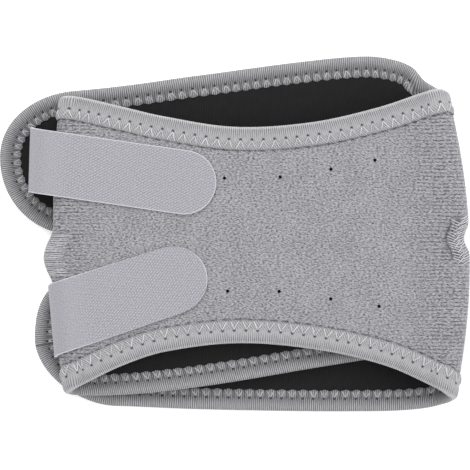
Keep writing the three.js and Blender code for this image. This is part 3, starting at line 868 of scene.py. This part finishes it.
@dataclass(frozen=True)
class RibbedTape:
    """Woven grosgrain binding: fine cross ribs that stand out at its rolled edge, pierced by the needle."""

    name: str = "grosgrain_binding"
    light: str = "#c4c3c6"
    middle: str = "#a1a0a3"
    dark: str = "#5e5d60"
    hole: str = "#1d1d1f"
    # Painted highlight along the grey face's rolled outer edge
    bright: str = "#e4e3e6"
    shadow: str = "#1c1c1e"
    rib: float = 1.05
    hole_radius: float = 0.62
    hatch_lean: float = 38.0
    # Where the tape's ends meet on the lower lobe, in millimetres round the edge
    join: float = 641.5
    # Painted shade on the black face, where the tape rolls away into its stitch groove, lighter on the puffs
    # and darker again at its inner edge: from and to, in millimetres from the edge, and the share it gains
    shadows: tuple[tuple[float, float, float], ...] = ((2.0, 6.2, 0.4), (6.3, 7.8, -0.32), (9.2, 10.4, 0.3))

    def material(self, pitch: float, hole_depth: float, width: float) -> bpy.types.Material:
        """The finish as a material. Its 0.7 mm ribs are drawn at 1.05 mm so that they show.

        Args:
            pitch: the distance between needle holes along the tape, in millimetres.
            hole_depth: how far the holes lie in from the edge.
            width: how far in the tape reaches.

        Returns:
            The material.
        """
        material, add = start_material(self.name, {
            "Roughness": 0.75, "Sheen Weight": 0.15, "Sheen Roughness": 0.4, "Specular IOR Level": 0.3})
        place = cut_in_mm(add)
        run, side = (add("SeparateXYZ", (place,), axis) for axis in ("X", "Y"))
        depth = add("Math", (side,), operation="ABSOLUTE")
        aside = add("Math", (run, pitch / 2.0), operation="PINGPONG")
        black = add("Math", (side, 0.0), operation="LESS_THAN")
        grey = add("Math", (1.0, black), operation="SUBTRACT")

        waver = add("TexNoise", {"Vector": place, "Scale": 0.12, "Detail": 1.0})
        near = add("MapRange", (depth, 2.0, 6.0, 1.0, 0.16))
        strength = add("Math", (near, product(add, black, 1.05)), operation="MAXIMUM")
        ribbed = product(add, ripple(add, run, self.rib, product(add, waver, 6.0)), 0.5, strength)
        lean = math.radians(self.hatch_lean)
        slant = weighted(add, 0.0, (depth, math.sin(lean)), (run, math.cos(lean)))
        inner = product(add, add("MapRange", (depth, hole_depth, hole_depth + 1.0, 0.0, 0.5)), grey)
        ribbed = weighted(add, ribbed, (product(add, ripple(add, slant, self.rib), 0.5), inner))
        grain = add("TexNoise", {"Vector": stretched(add, place, (1.0, 0.4, 1.0)), "Scale": 0.9,
                                 "Detail": 3.0, "Roughness": 0.6})
        tone = weighted(add, 0.25, (ribbed, 0.8), (grain, 0.5))
        color = towards(add, self.dark, self.middle, tone, 0.0, 0.5)
        color = towards(add, color, self.light, tone, 0.5, 1.0)

        down = add("Math", (depth, hole_depth), operation="SUBTRACT")
        gap = add("Math", (weighted(add, 0.0, (aside, aside), (down, down)),), operation="SQRT")
        hole = add("MapRange", (gap, self.hole_radius * 0.5, self.hole_radius * 1.5, 0.9, 0.0))
        color = towards(add, color, self.hole, hole)
        color = towards(add, color, self.dark, depth, width - 1.2, width, 0.35)
        # Painted highlight: the grey face lighter along its rolled outer edge
        edge_highlight = product(add, add("MapRange", (depth, 1.5, 0.3, 0.0, 0.5)), grey)
        color = towards(add, color, self.bright, edge_highlight)
        # Painted shade on the black face: darker between the needle holes along the stitch groove, and over
        # the depths in shadows
        through = product(add, add("MapRange", (aside, 1.3, pitch / 2.0, 0.0, 0.5)),
                          add("MapRange", (depth, hole_depth - 0.6, hole_depth + 0.8)))
        for start, end, gain in self.shadows:
            through = weighted(add, through, (add("MapRange", (depth, start, end)), gain))
        color = towards(add, color, self.shadow, product(add, through, black))
        color = towards(add, color, self.hole, apart(add, run, self.join), 0.7, 0.2, 0.6)
        return end_material(material, color, weighted(add, ribbed, (grain, 0.2), (hole, -1.0)), 0.5, 0.9)


@dataclass(frozen=True)
class HookTape:
    """Back of a moulded hook strap: a tight slanting twill, with a painted highlight along its heat-cut edge.
    """

    name: str = "twill_hook_strap"
    light: str = "#b2b1b8"
    dark: str = "#84838a"
    # Painted highlight along the strap's cut edge
    edge: str = "#cbcad0"
    dash: float = 1.45
    column: float = 1.35
    slant: float = -0.7

    def material(self) -> bpy.types.Material:
        """The finish as a material. Its 0.5 mm twill is drawn at 1.35 by 1.45 mm so that it shows."""
        material, add = start_material(self.name, {
            "Roughness": 0.7, "Sheen Weight": 0.12, "Sheen Roughness": 0.4, "Specular IOR Level": 0.35})
        place = cut_in_mm(add)
        run, across = (add("SeparateXYZ", (place,), axis) for axis in ("X", "Y"))
        waver = add("TexNoise", {"Vector": place, "Scale": 0.35, "Detail": 2.0})
        grain = add("TexNoise", {"Vector": place, "Scale": 1.3, "Detail": 2.0})
        column = ripple(add, run, self.column, product(add, waver, 4.0))
        dash = ripple(add, weighted(add, across, (run, self.slant)), self.dash, product(add, waver, 5.0))
        ridge = product(add, weighted(add, 0.5, (column, 0.5)), dash)
        taut = add("MapRange", (run, 1.0, 12.0, 0.25, 1.0))
        twill = product(add, weighted(add, 0.0, (column, 0.1), (ridge, 0.42)), taut)
        weave = weighted(add, 0.05, (grain, 0.9), (twill, 1.0))
        # Painted highlight: paler within about a millimetre of the cut edge
        cut_edge_highlight = weighted(add, add("Attribute", output="Fac", attribute_name="rim_gap"), (grain, 0.5))
        color = towards(add, self.dark, self.light, weave, 0.15, 0.85)
        color = towards(add, color, self.edge, cut_edge_highlight, 0.85, 0.45, 0.9)
        return end_material(material, color, weave, 0.3, 0.6)


@dataclass(frozen=True)
class SewingThread:
    """Bright polyester overlock thread, spun from two plies with a slight gloss."""

    name: str = "polyester_thread"
    light: str = "#e2e1e5"
    dark: str = "#b4b3b7"
    ply: float = math.pi / 20.0

    def material(self) -> bpy.types.Material:
        """The finish as a material, with the plies of the thread as a slanting ripple along it."""
        material, add = start_material(self.name, {
            "Roughness": 0.45, "Sheen Weight": 0.2, "Sheen Roughness": 0.4})
        run, tone = (add("Attribute", output="Fac", attribute_name=name)
                     for name in ("thread_run", "thread_tone"))
        ply = weighted(add, 0.5, (ripple(add, run, self.ply), 0.5))
        tone = weighted(add, 0.0, (tone, 0.6), (ply, 0.4))
        return end_material(material, towards(add, self.dark, self.light, tone), ply, 0.08, 0.5)


# ---- Sub-assemblies ----


# The darts' columns of stitches, in millimetres: from, to (along the sheet), low, high, pitch, slant
DART_COLUMNS = (
    (179.0, 190.5, -20.5, 0.5, 0.95, 0.5),
    (375.3, 379.8, -13.0, 8.0, 1.35, -1.9),
    (379.4, 386.5, -14.0, 10.5, 1.25, 2.6),
    (377.5, 381.5, -13.0, 9.0, 2.6, 3.2),
)


def darted(wrap: FoldedWrap, along: Array, y: Array) -> Array:
    """How much the cloth at each point is drawn into a dart, from 0 to 1."""
    drawn = np.zeros_like(along)
    for start, end, low, high, _, _ in DART_COLUMNS:
        across = smooth(along, start - 1.6, start) * (1.0 - smooth(along, end, end + 1.6))
        needle = np.exp(-(((along - start + 0.6) / 0.8) ** 2))
        level = smooth(y, low - 1.6, low + 2.0) * (1.0 - smooth(y, high - 4.0, high + 1.6))
        drawn = np.maximum(drawn, (0.15 * across + needle) * level)
    return drawn * wrap.fold_share(along)


@dataclass(frozen=True)
class Vents:
    """The round air holes through the front panel, as shares of its run and of its height."""

    diameter: float = 2.4
    rows: tuple[tuple[float, float], ...] = (
        (0.417, 0.186), (0.565, 0.19), (0.702, 0.2155), (0.822, 0.246),
        (0.42, -0.192), (0.555, -0.193), (0.691, -0.218), (0.819, -0.243),
    )

    def places(self, wrap: FoldedWrap) -> list[Vector]:
        """The middle of each hole, in metres."""
        across = np.array([row[0] for row in self.rows])
        up = np.array([row[1] for row in self.rows]) * wrap.sizes.front_height
        along = wrap.front_start + across * wrap.front_run
        return [Vector(place) for place in wrap.place(along, up, np.zeros(len(across)))]

    def cutter(self, wrap: FoldedWrap, share: float) -> Piece:
        """One piece of round punches of a share of the vents' width, standing through the front panel."""
        punches = []
        for place in self.places(wrap):
            deselect()
            bpy.ops.mesh.primitive_cylinder_add(vertices=20, radius=share * self.diameter / 2.0 * MM,
                                                depth=5.0 * wrap.sizes.sheet * MM, location=place)
            punches.append(bpy.context.active_object)
        deselect()
        for punch in punches:
            punch.select_set(True)
        bpy.context.view_layer.objects.active = punches[0]
        bpy.ops.object.join()
        return punches[0]


@dataclass
class SheetLayer:
    """One layer of the wrap's sheet: its grey cover or its black foam lining."""

    wrap: FoldedWrap
    name: str
    node: str
    slot: str
    finish: LoopKnit | BlackJersey
    thickness: float
    middle: float
    spacing: float = 1.9
    rows: int = 65
    inset: float = 1.6
    vents: Vents = field(default_factory=Vents)
    vent_share: float = 0.72
    waves: float = 0.25
    pucker: float = 0.3
    notch_columns: int = 10
    lobe_columns: int = 20

    def _columns(self) -> Array:
        """The distances along the sheet of its columns before the notch."""
        wrap, corner = self.wrap, self.wrap.sizes.flap_corner
        turn = np.linspace(0.0, np.pi / 2.0, 9)
        start = corner - (corner - self.inset) * np.cos(turn)

        def run(low: float, high: float, spacing: float) -> Array:
            return np.linspace(low, high, max(2, int(round((high - low) / spacing))) + 1)[1:]

        notch = wrap.notch_start - self.inset
        return np.concatenate([
            start,
            run(corner, wrap.left_start, 1.3 * self.spacing),
            run(wrap.left_start, wrap.front_start, 0.6 * self.spacing),
            run(wrap.front_start, wrap.right_start, self.spacing),
            run(wrap.right_start, wrap.rear_start, 0.6 * self.spacing),
            run(wrap.rear_start, notch, self.spacing),
        ])

    def _lay_out(self, column: Array, row: Array) -> tuple[Array, Array]:
        """The flat place of each point of the grid.

        Args:
            column: the column of each point.
            row: the row of each point.

        Returns:
            Distances along the sheet and heights, in millimetres.
        """
        wrap, inset = self.wrap, self.inset
        body = self._columns()
        last, half = len(body) - 1, self.rows // 2
        shoulder = last + self.notch_columns
        along = body[np.minimum(column, last)].copy()
        notch_turn = np.clip((column - last) / self.notch_columns, 0.0, 1.0) * np.pi / 2.0
        radius = wrap.sizes.notch_width / 2.0 + inset
        in_notch = (column > last) & (column <= shoulder)
        along = np.where(in_notch, wrap.shoulder - radius * np.cos(notch_turn), along)
        lobe_turn = np.clip((column - shoulder) / self.lobe_columns, 0.0, 1.0) * np.pi / 2.0
        y = np.empty(len(column))
        for lobe, chosen, share in (
            (wrap.lower, row <= half, row / half),
            (wrap.upper, row > half, (row - half - 1) / (self.rows - half - 1)),
        ):
            reach = lobe.tip - inset - wrap.shoulder
            at = np.where(column > shoulder, wrap.shoulder + reach * np.sin(lobe_turn), along)
            side = 1.0 if lobe is wrap.upper else -1.0
            outer = wrap.long_edge(lobe, at, inset) - side * wrap.corner_cut(at, inset)
            opening = 0.6 * (1.0 - smooth(at, wrap.notch_start - 16.0, wrap.notch_start - inset))
            inner = wrap.notch_edge(lobe, at, inset) + side * opening
            low, high = (outer, inner) if lobe is wrap.lower else (inner, outer)
            y = np.where(chosen, low + (high - low) * share, y)
            along = np.where(chosen, at, along)
        return along, y

    def _bent(self, along: Array) -> Array:
        """How much the cloth is drawn round a fold at each point, from 0 to 1."""
        wrap, reach = self.wrap, 28.0
        left = smooth(wrap.front_start + reach - along, 0.0, reach) * smooth(along, wrap.left_start - reach,
                                                                             wrap.left_start)
        right = smooth(along, wrap.right_start - reach, wrap.right_start) * smooth(
            wrap.rear_start + reach - along, 0.0, reach)
        return 0.12 + 0.88 * np.maximum(left, right)

    def _relief(self, along: Array, y: Array, gap: Array, station: Array,
                pitch: float) -> Array:
        """How far the cloth stands out of its plane: soft waves, and puckers where the needle pulls it in."""
        random = np.random.default_rng(7)
        rise = np.zeros_like(along)
        for _ in range(9):
            angle, length = random.uniform(0.0, np.pi), random.uniform(22.0, 60.0)
            phase = random.uniform(0.0, 2.0 * np.pi)
            rise += np.sin(2.0 * np.pi * (along * math.cos(angle) + y * math.sin(angle)) / length + phase)
        calm = 1.0 - self.wrap.fold_share(along, 12.0)
        band = self.wrap.sizes.tape_width + 1.2
        pull = np.cos(2.0 * np.pi * station / pitch) * np.exp(-(((gap - band) / 2.0) ** 2))
        return self.waves * rise / 3.0 * calm + self.pucker * pull * (0.4 + 0.6 * calm)

    def build(self, pitch: float) -> Piece:
        """Cuts, folds and thickens the layer.

        Args:
            pitch: the distance between the stitches that hold its edge, in millimetres.

        Returns:
            The piece.
        """
        wrap = self.wrap
        last = len(self._columns()) - 1
        columns = last + self.notch_columns + self.lobe_columns
        piece, column, row = start_grid(self.name, columns, self.rows)
        along, y = self._lay_out(column, row)
        gap, station = wrap.nearest_edge(along, y)
        out = self.middle + self._relief(along, y, gap, station, pitch)
        lay(piece, wrap.place(along, y, out))
        write_cut_map(piece, along * MM, y * MM)
        write_values(piece, "edge_gap", gap)
        write_values(piece, "edge_run", station)
        write_values(piece, "bent", self._bent(along))
        write_values(piece, "darted", darted(wrap, along, y))
        faces = np.array([list(face.vertices) for face in piece.data.polygons])
        half = self.rows // 2
        middle = (row[faces].min(axis=1) == half) & (row[faces].max(axis=1) == half + 1)
        delete_faces(piece, middle & (column[faces].min(axis=1) >= last))
        thicken(piece, self.thickness)
        cutter = self.vents.cutter(wrap, self.vent_share)
        cut(piece, cutter)
        bpy.data.objects.remove(cutter)
        shade(piece)
        return hand_over(piece, self.finish.material(), self.node)


@dataclass(frozen=True)
class TapeRelief:
    """How deep the stitches draw the tape in on one face, in millimetres."""

    groove: float
    flange: float
    puff: float


@dataclass(frozen=True)
class Zigzag:
    """The stitches of one face: two legs lead from every needle hole towards the tape's inner edge."""

    name: str
    face: Face
    finish: SewingThread
    thread: ThreadSizes
    spreads: tuple[float, float]
    start: float
    short: float


@dataclass
class EdgeTape:
    """The ribbed tape folded over the whole edge of the sheet, and the zigzag that sews it down."""

    wrap: FoldedWrap
    finish: RibbedTape = field(default_factory=RibbedTape)
    zigzags: tuple[Zigzag, ...] = (
        Zigzag("edge_stitches", Face.GREY, SewingThread(), ThreadSizes(diameter=0.5), (-0.30, 0.42),
               start=0.4, short=0.5),
        Zigzag("edge_loops", Face.BLACK, SewingThread("dull_edge_thread", "#d2d1d5", "#a09fa3"),
               ThreadSizes(diameter=0.45), (-0.28, 0.44), start=0.5, short=0.3),
    )
    pitch: float = 5.6
    hole_depth: float = 6.4
    black_width: float = 10.5
    nose: float = 2.4
    roundness: float = 2.2
    scallop: float = 0.35
    grey_scallop: float = 0.35
    sections: int = 1990
    depths: tuple[float, ...] = (0.0, 0.08, 0.3, 0.75, 1.4, 2.4, 3.8, 5.0, 5.9, 6.4, 6.9, 7.8, 9.0, 10.2,
                                 11.0, 11.5)
    inner_depths: tuple[float, ...] = (11.2, 6.4, 1.0)

    @property
    def true_pitch(self) -> float:
        """The pitch that fits a whole number of stitches round the edge."""
        return self.wrap.length / round(self.wrap.length / self.pitch)

    def width(self, face: Face) -> float:
        """How far in the tape reaches on a face."""
        return self.wrap.sizes.tape_width if face is Face.GREY else self.black_width

    def _phase(self, station: Array) -> Array:
        """1 beside a needle hole and −1 halfway between two."""
        return np.cos(2.0 * np.pi * station / self.true_pitch)

    def height(self, station: Array, depth: Array, face: Face) -> Array:
        """How far the tape stands from the middle of the sheet.

        Args:
            station: distances round the edge.
            depth: distances in from the edge.
            face: the face of the wrap.

        Returns:
            The heights of its outer side, in millimetres.
        """
        full, floor = self.wrap.sizes.bound / 2.0, self.wrap.sizes.sheet / 2.0 + 0.25
        relief = TapeRelief(0.1, 0.1, 0.0) if face is Face.GREY else TapeRelief(0.3, 0.38, 0.22)
        phase, width = self._phase(station), self.width(face)
        turned = np.clip(1.0 - depth / self.nose, 0.0, 1.0)
        rise = full * (1.0 - turned**self.roundness) ** (1.0 / self.roundness)
        near = np.exp(-((depth - self.hole_depth) ** 2))
        line = near * (relief.groove + 0.3 * np.clip(phase, 0.0, 1.0) ** 3)
        low = relief.flange * smooth(depth, 3.6, self.hole_depth)
        middle = (self.hole_depth + width) / 2.0
        bump = relief.puff * np.exp(-(((depth - middle) / 1.6) ** 2)) * (0.5 + 0.5 * phase)
        foot = smooth(depth, width - 2.6, width) * (0.15 + 0.3 * np.clip(-phase, 0.0, 1.0))
        return np.maximum(rise - line - low + bump - foot, np.minimum(rise, floor))

    def build(self) -> Piece:
        """Runs the tape round the edge of the sheet.

        Returns:
            The piece.
        """
        depths = np.array(self.depths)
        outer = [(depth, Face.GREY) for depth in depths[::-1]] + [(depth, Face.BLACK) for depth in depths[1:]]
        inner = ([(depth, Face.BLACK) for depth in self.inner_depths]
                 + [(depth, Face.GREY) for depth in self.inner_depths[::-1]])
        ring = outer + inner + outer[:1]
        piece, column, row = start_grid("edge_tape", self.sections, len(ring) - 1)
        station = np.arange(self.sections + 1) / self.sections * self.wrap.length
        places = np.empty((self.sections + 1, len(ring), 3))
        depth_map = np.empty((self.sections + 1, len(ring)))
        for index, (depth, face) in enumerate(ring):
            share = depth / depths[-1]
            scallop = self.scallop * (1.0 if face is Face.BLACK else self.grey_scallop)
            reach = (self.width(face) + scallop * share**4 * self._phase(station)) * share
            rise = self.height(station, reach, face)
            if len(outer) <= index < len(outer) + len(inner):
                rise = np.full_like(rise, self.wrap.sizes.sheet / 2.0 + 0.05)
            along, y = self.wrap.from_edge(station, reach)
            places[:, index] = self.wrap.place(along, y, face.value * rise)
            depth_map[:, index] = face.value * reach
        places[-1] = places[0]
        lay(piece, places[column, row])
        write_cut_map(piece, station[column] * MM, depth_map[column, row] * MM)
        delete_faces(piece, np.zeros(len(piece.data.polygons), dtype=bool))
        face_outwards(piece)
        shade(piece, 50.0)
        material = self.finish.material(self.true_pitch, self.hole_depth, self.wrap.sizes.tape_width)
        return hand_over(piece, material, "edge_binding")

    def stitches(self) -> list[Piece]:
        """Sews the zigzag of both faces.

        Returns:
            One piece for each face.
        """
        random = np.random.default_rng(21)
        return [self._sew(zigzag, random) for zigzag in self.zigzags]

    def _sew(self, zigzag: Zigzag, random: np.random.Generator) -> Piece:
        """Sews one face.

        Args:
            zigzag: its stitches.
            random: where their small differences come from.

        Returns:
            The piece.
        """
        pitch, thread, face = self.true_pitch, zigzag.thread, zigzag.face
        width, start = self.width(face), self.hole_depth + zigzag.start
        holes = np.arange(round(self.wrap.length / pitch)) * pitch
        share = np.linspace(0.0, 1.0, thread.rings)
        centres, normals = [], []
        for spread in zigzag.spreads:
            aside = spread * share[None, :] + random.uniform(-0.04, 0.04, (len(holes), 1))
            length = (width - zigzag.short - start) * random.uniform(0.86, 1.08, (len(holes), 1))
            station, depth = holes[:, None] + aside * pitch, start + length * share[None, :]
            rise = self.height(station, np.minimum(depth, width), face) + thread.diameter * 0.3
            rise -= np.clip(depth - width, 0.0, 1.0) * 0.5
            rise += 0.12 * np.sin(np.pi * share)[None, :]
            along, y = self.wrap.from_edge(station, depth)
            out = face.value * rise
            places = self.wrap.place(along, y, out)
            places[..., 2] = np.maximum(places[..., 2], (thread.diameter / 2.0 - THREAD_SINK) * MM)
            centres.append(places)
            normals.append(self.wrap.outward(along, y, out) * face.value)
        piece = sew(zigzag.name, np.concatenate(centres), np.concatenate(normals), thread)
        return hand_over(piece, zigzag.finish.material())


@dataclass
class StrapCut:
    """One hook strap: how it is cut and how it lies, in millimetres and degrees."""

    name: str
    node: str
    width: float
    length: float
    root: float
    overhang: float
    height: float
    bend_lean: float
    lean: float
    tip_taper: float


@dataclass
class HookStrap:
    """A hook strap from its root on the rear panel, round the left fold to its round tip on the front."""

    wrap: FoldedWrap
    cut: StrapCut
    finish: HookTape = field(default_factory=HookTape)
    rows: int = 26
    spacing: float = 1.25
    ripple: float = 0.12

    def _place(self, run: Array, across: Array, off: Array) -> Array:
        """The place of points of the strap, in metres.

        Args:
            run: distances from the end of the bend towards the tip.
            across: distances across it from its middle line.
            off: distances out of its middle.

        Returns:
            The places.
        """
        s, wrap, strap = self.wrap.sizes, self.wrap, self.cut
        radius = (s.strap_z - s.root_z) / 2.0
        turn = math.pi * radius
        bend, lean = math.radians(strap.bend_lean), math.radians(strap.lean)
        axis_x = -s.front_width / 2.0 - strap.overhang + radius + s.strap_thickness / 2.0
        skew = np.where(run > 0.0, np.clip(1.0 - run / (strap.length / 2.0), 0.0, 1.0), 1.0)
        shifted = run + across * math.tan(lean) * skew
        slide = np.where(run < -turn / 2.0, 2.0 * across * math.tan(lean) - turn - shifted, shifted)
        away = shifted * math.cos(lean) - across * math.sin(lean)
        side = slide * math.sin(lean) + across * math.cos(lean)
        angle = np.clip(-away / radius, 0.0, math.pi)
        straight = np.where(away > 0.0, away, np.maximum(-away - turn, 0.0))
        out = radius + off
        plan = straight - out * np.sin(angle)
        x = axis_x + plan * math.cos(bend) - side * math.sin(bend)
        y = strap.height + plan * math.sin(bend) + side * math.cos(bend)
        sagged = np.where(away > 0.0, wrap.sag((x - wrap.left_axis) / wrap.front_run), 0.0)
        z = (s.strap_z + s.root_z) / 2.0 + out * np.cos(angle) - sagged
        return np.stack([x + CENTRE_X, y + CENTRE_Y, z], axis=-1) * MM

    def build(self) -> Piece:
        """Cuts and bends the strap.

        Returns:
            The piece.
        """
        s, strap = self.wrap.sizes, self.cut
        radius = (s.strap_z - s.root_z) / 2.0
        tip = strap.width / 2.0
        start = -math.pi * radius - strap.root
        plain = np.linspace(start, strap.length - tip, int((strap.length - tip - start) / self.spacing) + 1)
        turned = np.linspace(0.0, np.pi / 2.0, 25)[1:]
        stations = np.concatenate([plain, strap.length - tip + tip * np.sin(turned)])
        flare = 1.0 - strap.tip_taper * np.clip(plain / strap.length, 0.0, 1.0)
        halves = np.concatenate([tip * flare, tip * (1.0 - strap.tip_taper) * np.cos(turned)])
        piece, column, row = start_grid(strap.name, len(stations) - 1, self.rows)
        run, half = stations[column], halves[column]
        across = (2.0 * row / self.rows - 1.0) * half
        wave = self.ripple * (np.sin(run / 9.0 + across / 14.0) + 0.6 * np.sin(run / 4.1 - across / 6.0))
        lay(piece, self._place(run, across, wave * np.clip(run / 20.0, 0.0, 1.0)))
        write_cut_map(piece, run * MM, across * MM)
        tip_gap = tip - np.hypot(np.maximum(run - (strap.length - tip), 0.0), across)
        write_values(piece, "rim_gap", np.minimum(np.minimum(tip - np.abs(across), tip_gap), run - start))
        delete_faces(piece, np.zeros(len(piece.data.polygons), dtype=bool))
        thicken(piece, s.strap_thickness)
        shade(piece)
        return hand_over(piece, self.finish.material(), strap.node)


@dataclass
class Darts:
    """The overlocked darts that shape the two folds beside the knee."""

    wrap: FoldedWrap
    finish: SewingThread = SewingThread("dull_overlock_thread", "#d8d7db", "#a9a8ac")
    thread: ThreadSizes = ThreadSizes(diameter=0.42)

    def build(self) -> Piece:
        """Sews both darts.

        Returns:
            The piece.
        """
        wrap = self.wrap
        random = np.random.default_rng(11)
        share = np.linspace(0.0, 1.0, self.thread.rings)
        centres, normals = [], []
        for start, end, low, high, pitch, lean in DART_COLUMNS:
            count = int((high - low) / pitch)
            base = low + np.arange(count) * pitch + random.uniform(-0.12, 0.12, count)
            starts = start + random.uniform(-0.3, 0.3, count)
            ends = end + random.uniform(-0.5, 0.5, count)
            along = starts[:, None] + (ends - starts)[:, None] * share[None, :]
            slant = lean + random.uniform(-0.7, 0.7, count)
            y = base[:, None] + slant[:, None] * (share[None, :] - 0.5)
            rise = wrap.sizes.sheet / 2.0 + 0.1 * self.thread.diameter + 0.15 * np.sin(np.pi * share)[None, :]
            out = rise + 0.0 * along
            centres.append(wrap.place(along, y, out))
            normals.append(wrap.outward(along, y, out))
        piece = sew("dart_stitches", np.concatenate(centres), np.concatenate(normals), self.thread)
        return hand_over(piece, self.finish.material())


@dataclass(frozen=True)
class Studio:
    """A white table under soft light, seen from straight above."""

    view_width: float = 0.235
    view_x: float = 0.00025
    view_y: float = -0.0005
    view_height: float = 3.0
    mid_height: float = 0.012
    daylight: float = 0.72
    # Name, place, size and power of each light, in metres and watts
    lights: tuple[tuple[str, tuple[float, float, float], float, float], ...] = (
        ("key", (-0.35, 1.25, 1.4), 1.0, 14.0),
        ("top", (0.0, 0.2, 2.2), 1.2, 11.0),
        ("side", (1.5, -0.1, 0.7), 0.8, 7.0),
    )

    def build(self) -> Piece:
        """Sets the floor, the lights and the camera.

        Returns:
            The floor.
        """
        deselect()
        bpy.ops.mesh.primitive_plane_add(size=6.0, location=(0.0, 0.0, -0.0004))
        floor = bpy.context.active_object
        floor.name = floor.data.name = "floor"
        material, add = start_material("white_paper_on_light_table", {
            "Roughness": 0.9, "Specular IOR Level": 0.1, "Emission Color": linear("#ffffff"),
            "Emission Strength": 0.28})
        cloud = add("TexNoise", {"Vector": add("TexCoord", output="Object"), "Scale": 1.5, "Detail": 2.0})
        floor.data.materials.append(end_material(material, towards(add, "#fdfdfd", "#ffffff", cloud)))
        for light in self.lights:
            self._light(*light)
        world = bpy.data.worlds.new("studio")
        world.use_nodes = True
        world.node_tree.nodes["Background"].inputs["Color"].default_value = linear("#ffffff")
        world.node_tree.nodes["Background"].inputs["Strength"].default_value = self.daylight
        bpy.context.scene.world = world
        bpy.context.scene.view_settings.view_transform = "Standard"
        self._camera()
        return floor

    def _light(self, name: str, place: tuple[float, float, float], size: float, power: float) -> None:
        """Hangs one square soft light that shines at the middle of the table."""
        data = bpy.data.lights.new(name, "AREA")
        data.size, data.energy = size, power
        light = bpy.data.objects.new(name, data)
        light.location = place
        light.rotation_euler = (-Vector(place)).to_track_quat("-Z", "Y").to_euler()
        bpy.context.scene.collection.objects.link(light)

    def _camera(self) -> None:
        """Hangs the camera straight above, with a long lens."""
        data = bpy.data.cameras.new("camera")
        data.sensor_width = 36.0
        data.lens = 36.0 * (self.view_height - self.mid_height) / self.view_width
        data.clip_end = 20.0
        camera = bpy.data.objects.new("camera", data)
        camera.location = (self.view_x, self.view_y, self.view_height)
        bpy.context.scene.collection.objects.link(camera)
        bpy.context.scene.camera = camera


def strap_cuts(sizes: WrapSizes) -> list[StrapCut]:
    """The two straps, as shares of the front panel's height."""
    return [
        StrapCut("upper_hook_strap", "strap_upper", width=32.0, length=85.0, root=30.0, overhang=14.0,
                 height=0.238 * sizes.front_height, bend_lean=-1.7, lean=-6.5, tip_taper=0.0),
        StrapCut("lower_hook_strap", "strap_lower", width=35.0, length=72.0, root=30.0, overhang=3.3,
                 height=-0.27 * sizes.front_height, bend_lean=5.2, lean=13.0, tip_taper=0.04),
    ]


def report(piece: Piece) -> Piece:
    """Logs a finished piece with its triangle count."""
    piece.data.calc_loop_triangles()
    LOG.info("%s: %d triangles", piece.name, len(piece.data.loop_triangles))
    return piece


def main() -> None:
    """Builds the wrap's pieces in order and sets them in the studio."""
    logging.basicConfig(level=logging.INFO, format="%(name)s %(message)s")
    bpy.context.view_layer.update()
    sizes = WrapSizes()
    wrap = FoldedWrap(sizes)
    tape = EdgeTape(wrap)
    cover_middle = (sizes.sheet - sizes.face) / 2.0
    lining_middle = (sizes.foam - sizes.sheet) / 2.0
    cover = report(SheetLayer(
        wrap, "loop_cover", "outer_cover", "loop_fabric", LoopKnit(stitch=tape.true_pitch), sizes.face,
        cover_middle).build(tape.true_pitch))
    lining = report(SheetLayer(
        wrap, "foam_lining", "neoprene_core", "black_lining", BlackJersey(), sizes.foam, lining_middle,
        spacing=2.6, rows=49, vent_share=0.3).build(tape.true_pitch))
    binding = report(tape.build())
    stitches = [report(piece) for piece in tape.stitches()]
    darts = report(Darts(wrap).build())
    straps = [report(HookStrap(wrap, cut_out).build()) for cut_out in strap_cuts(sizes)]
    Studio().build()


if __name__ == "__main__":
    main()
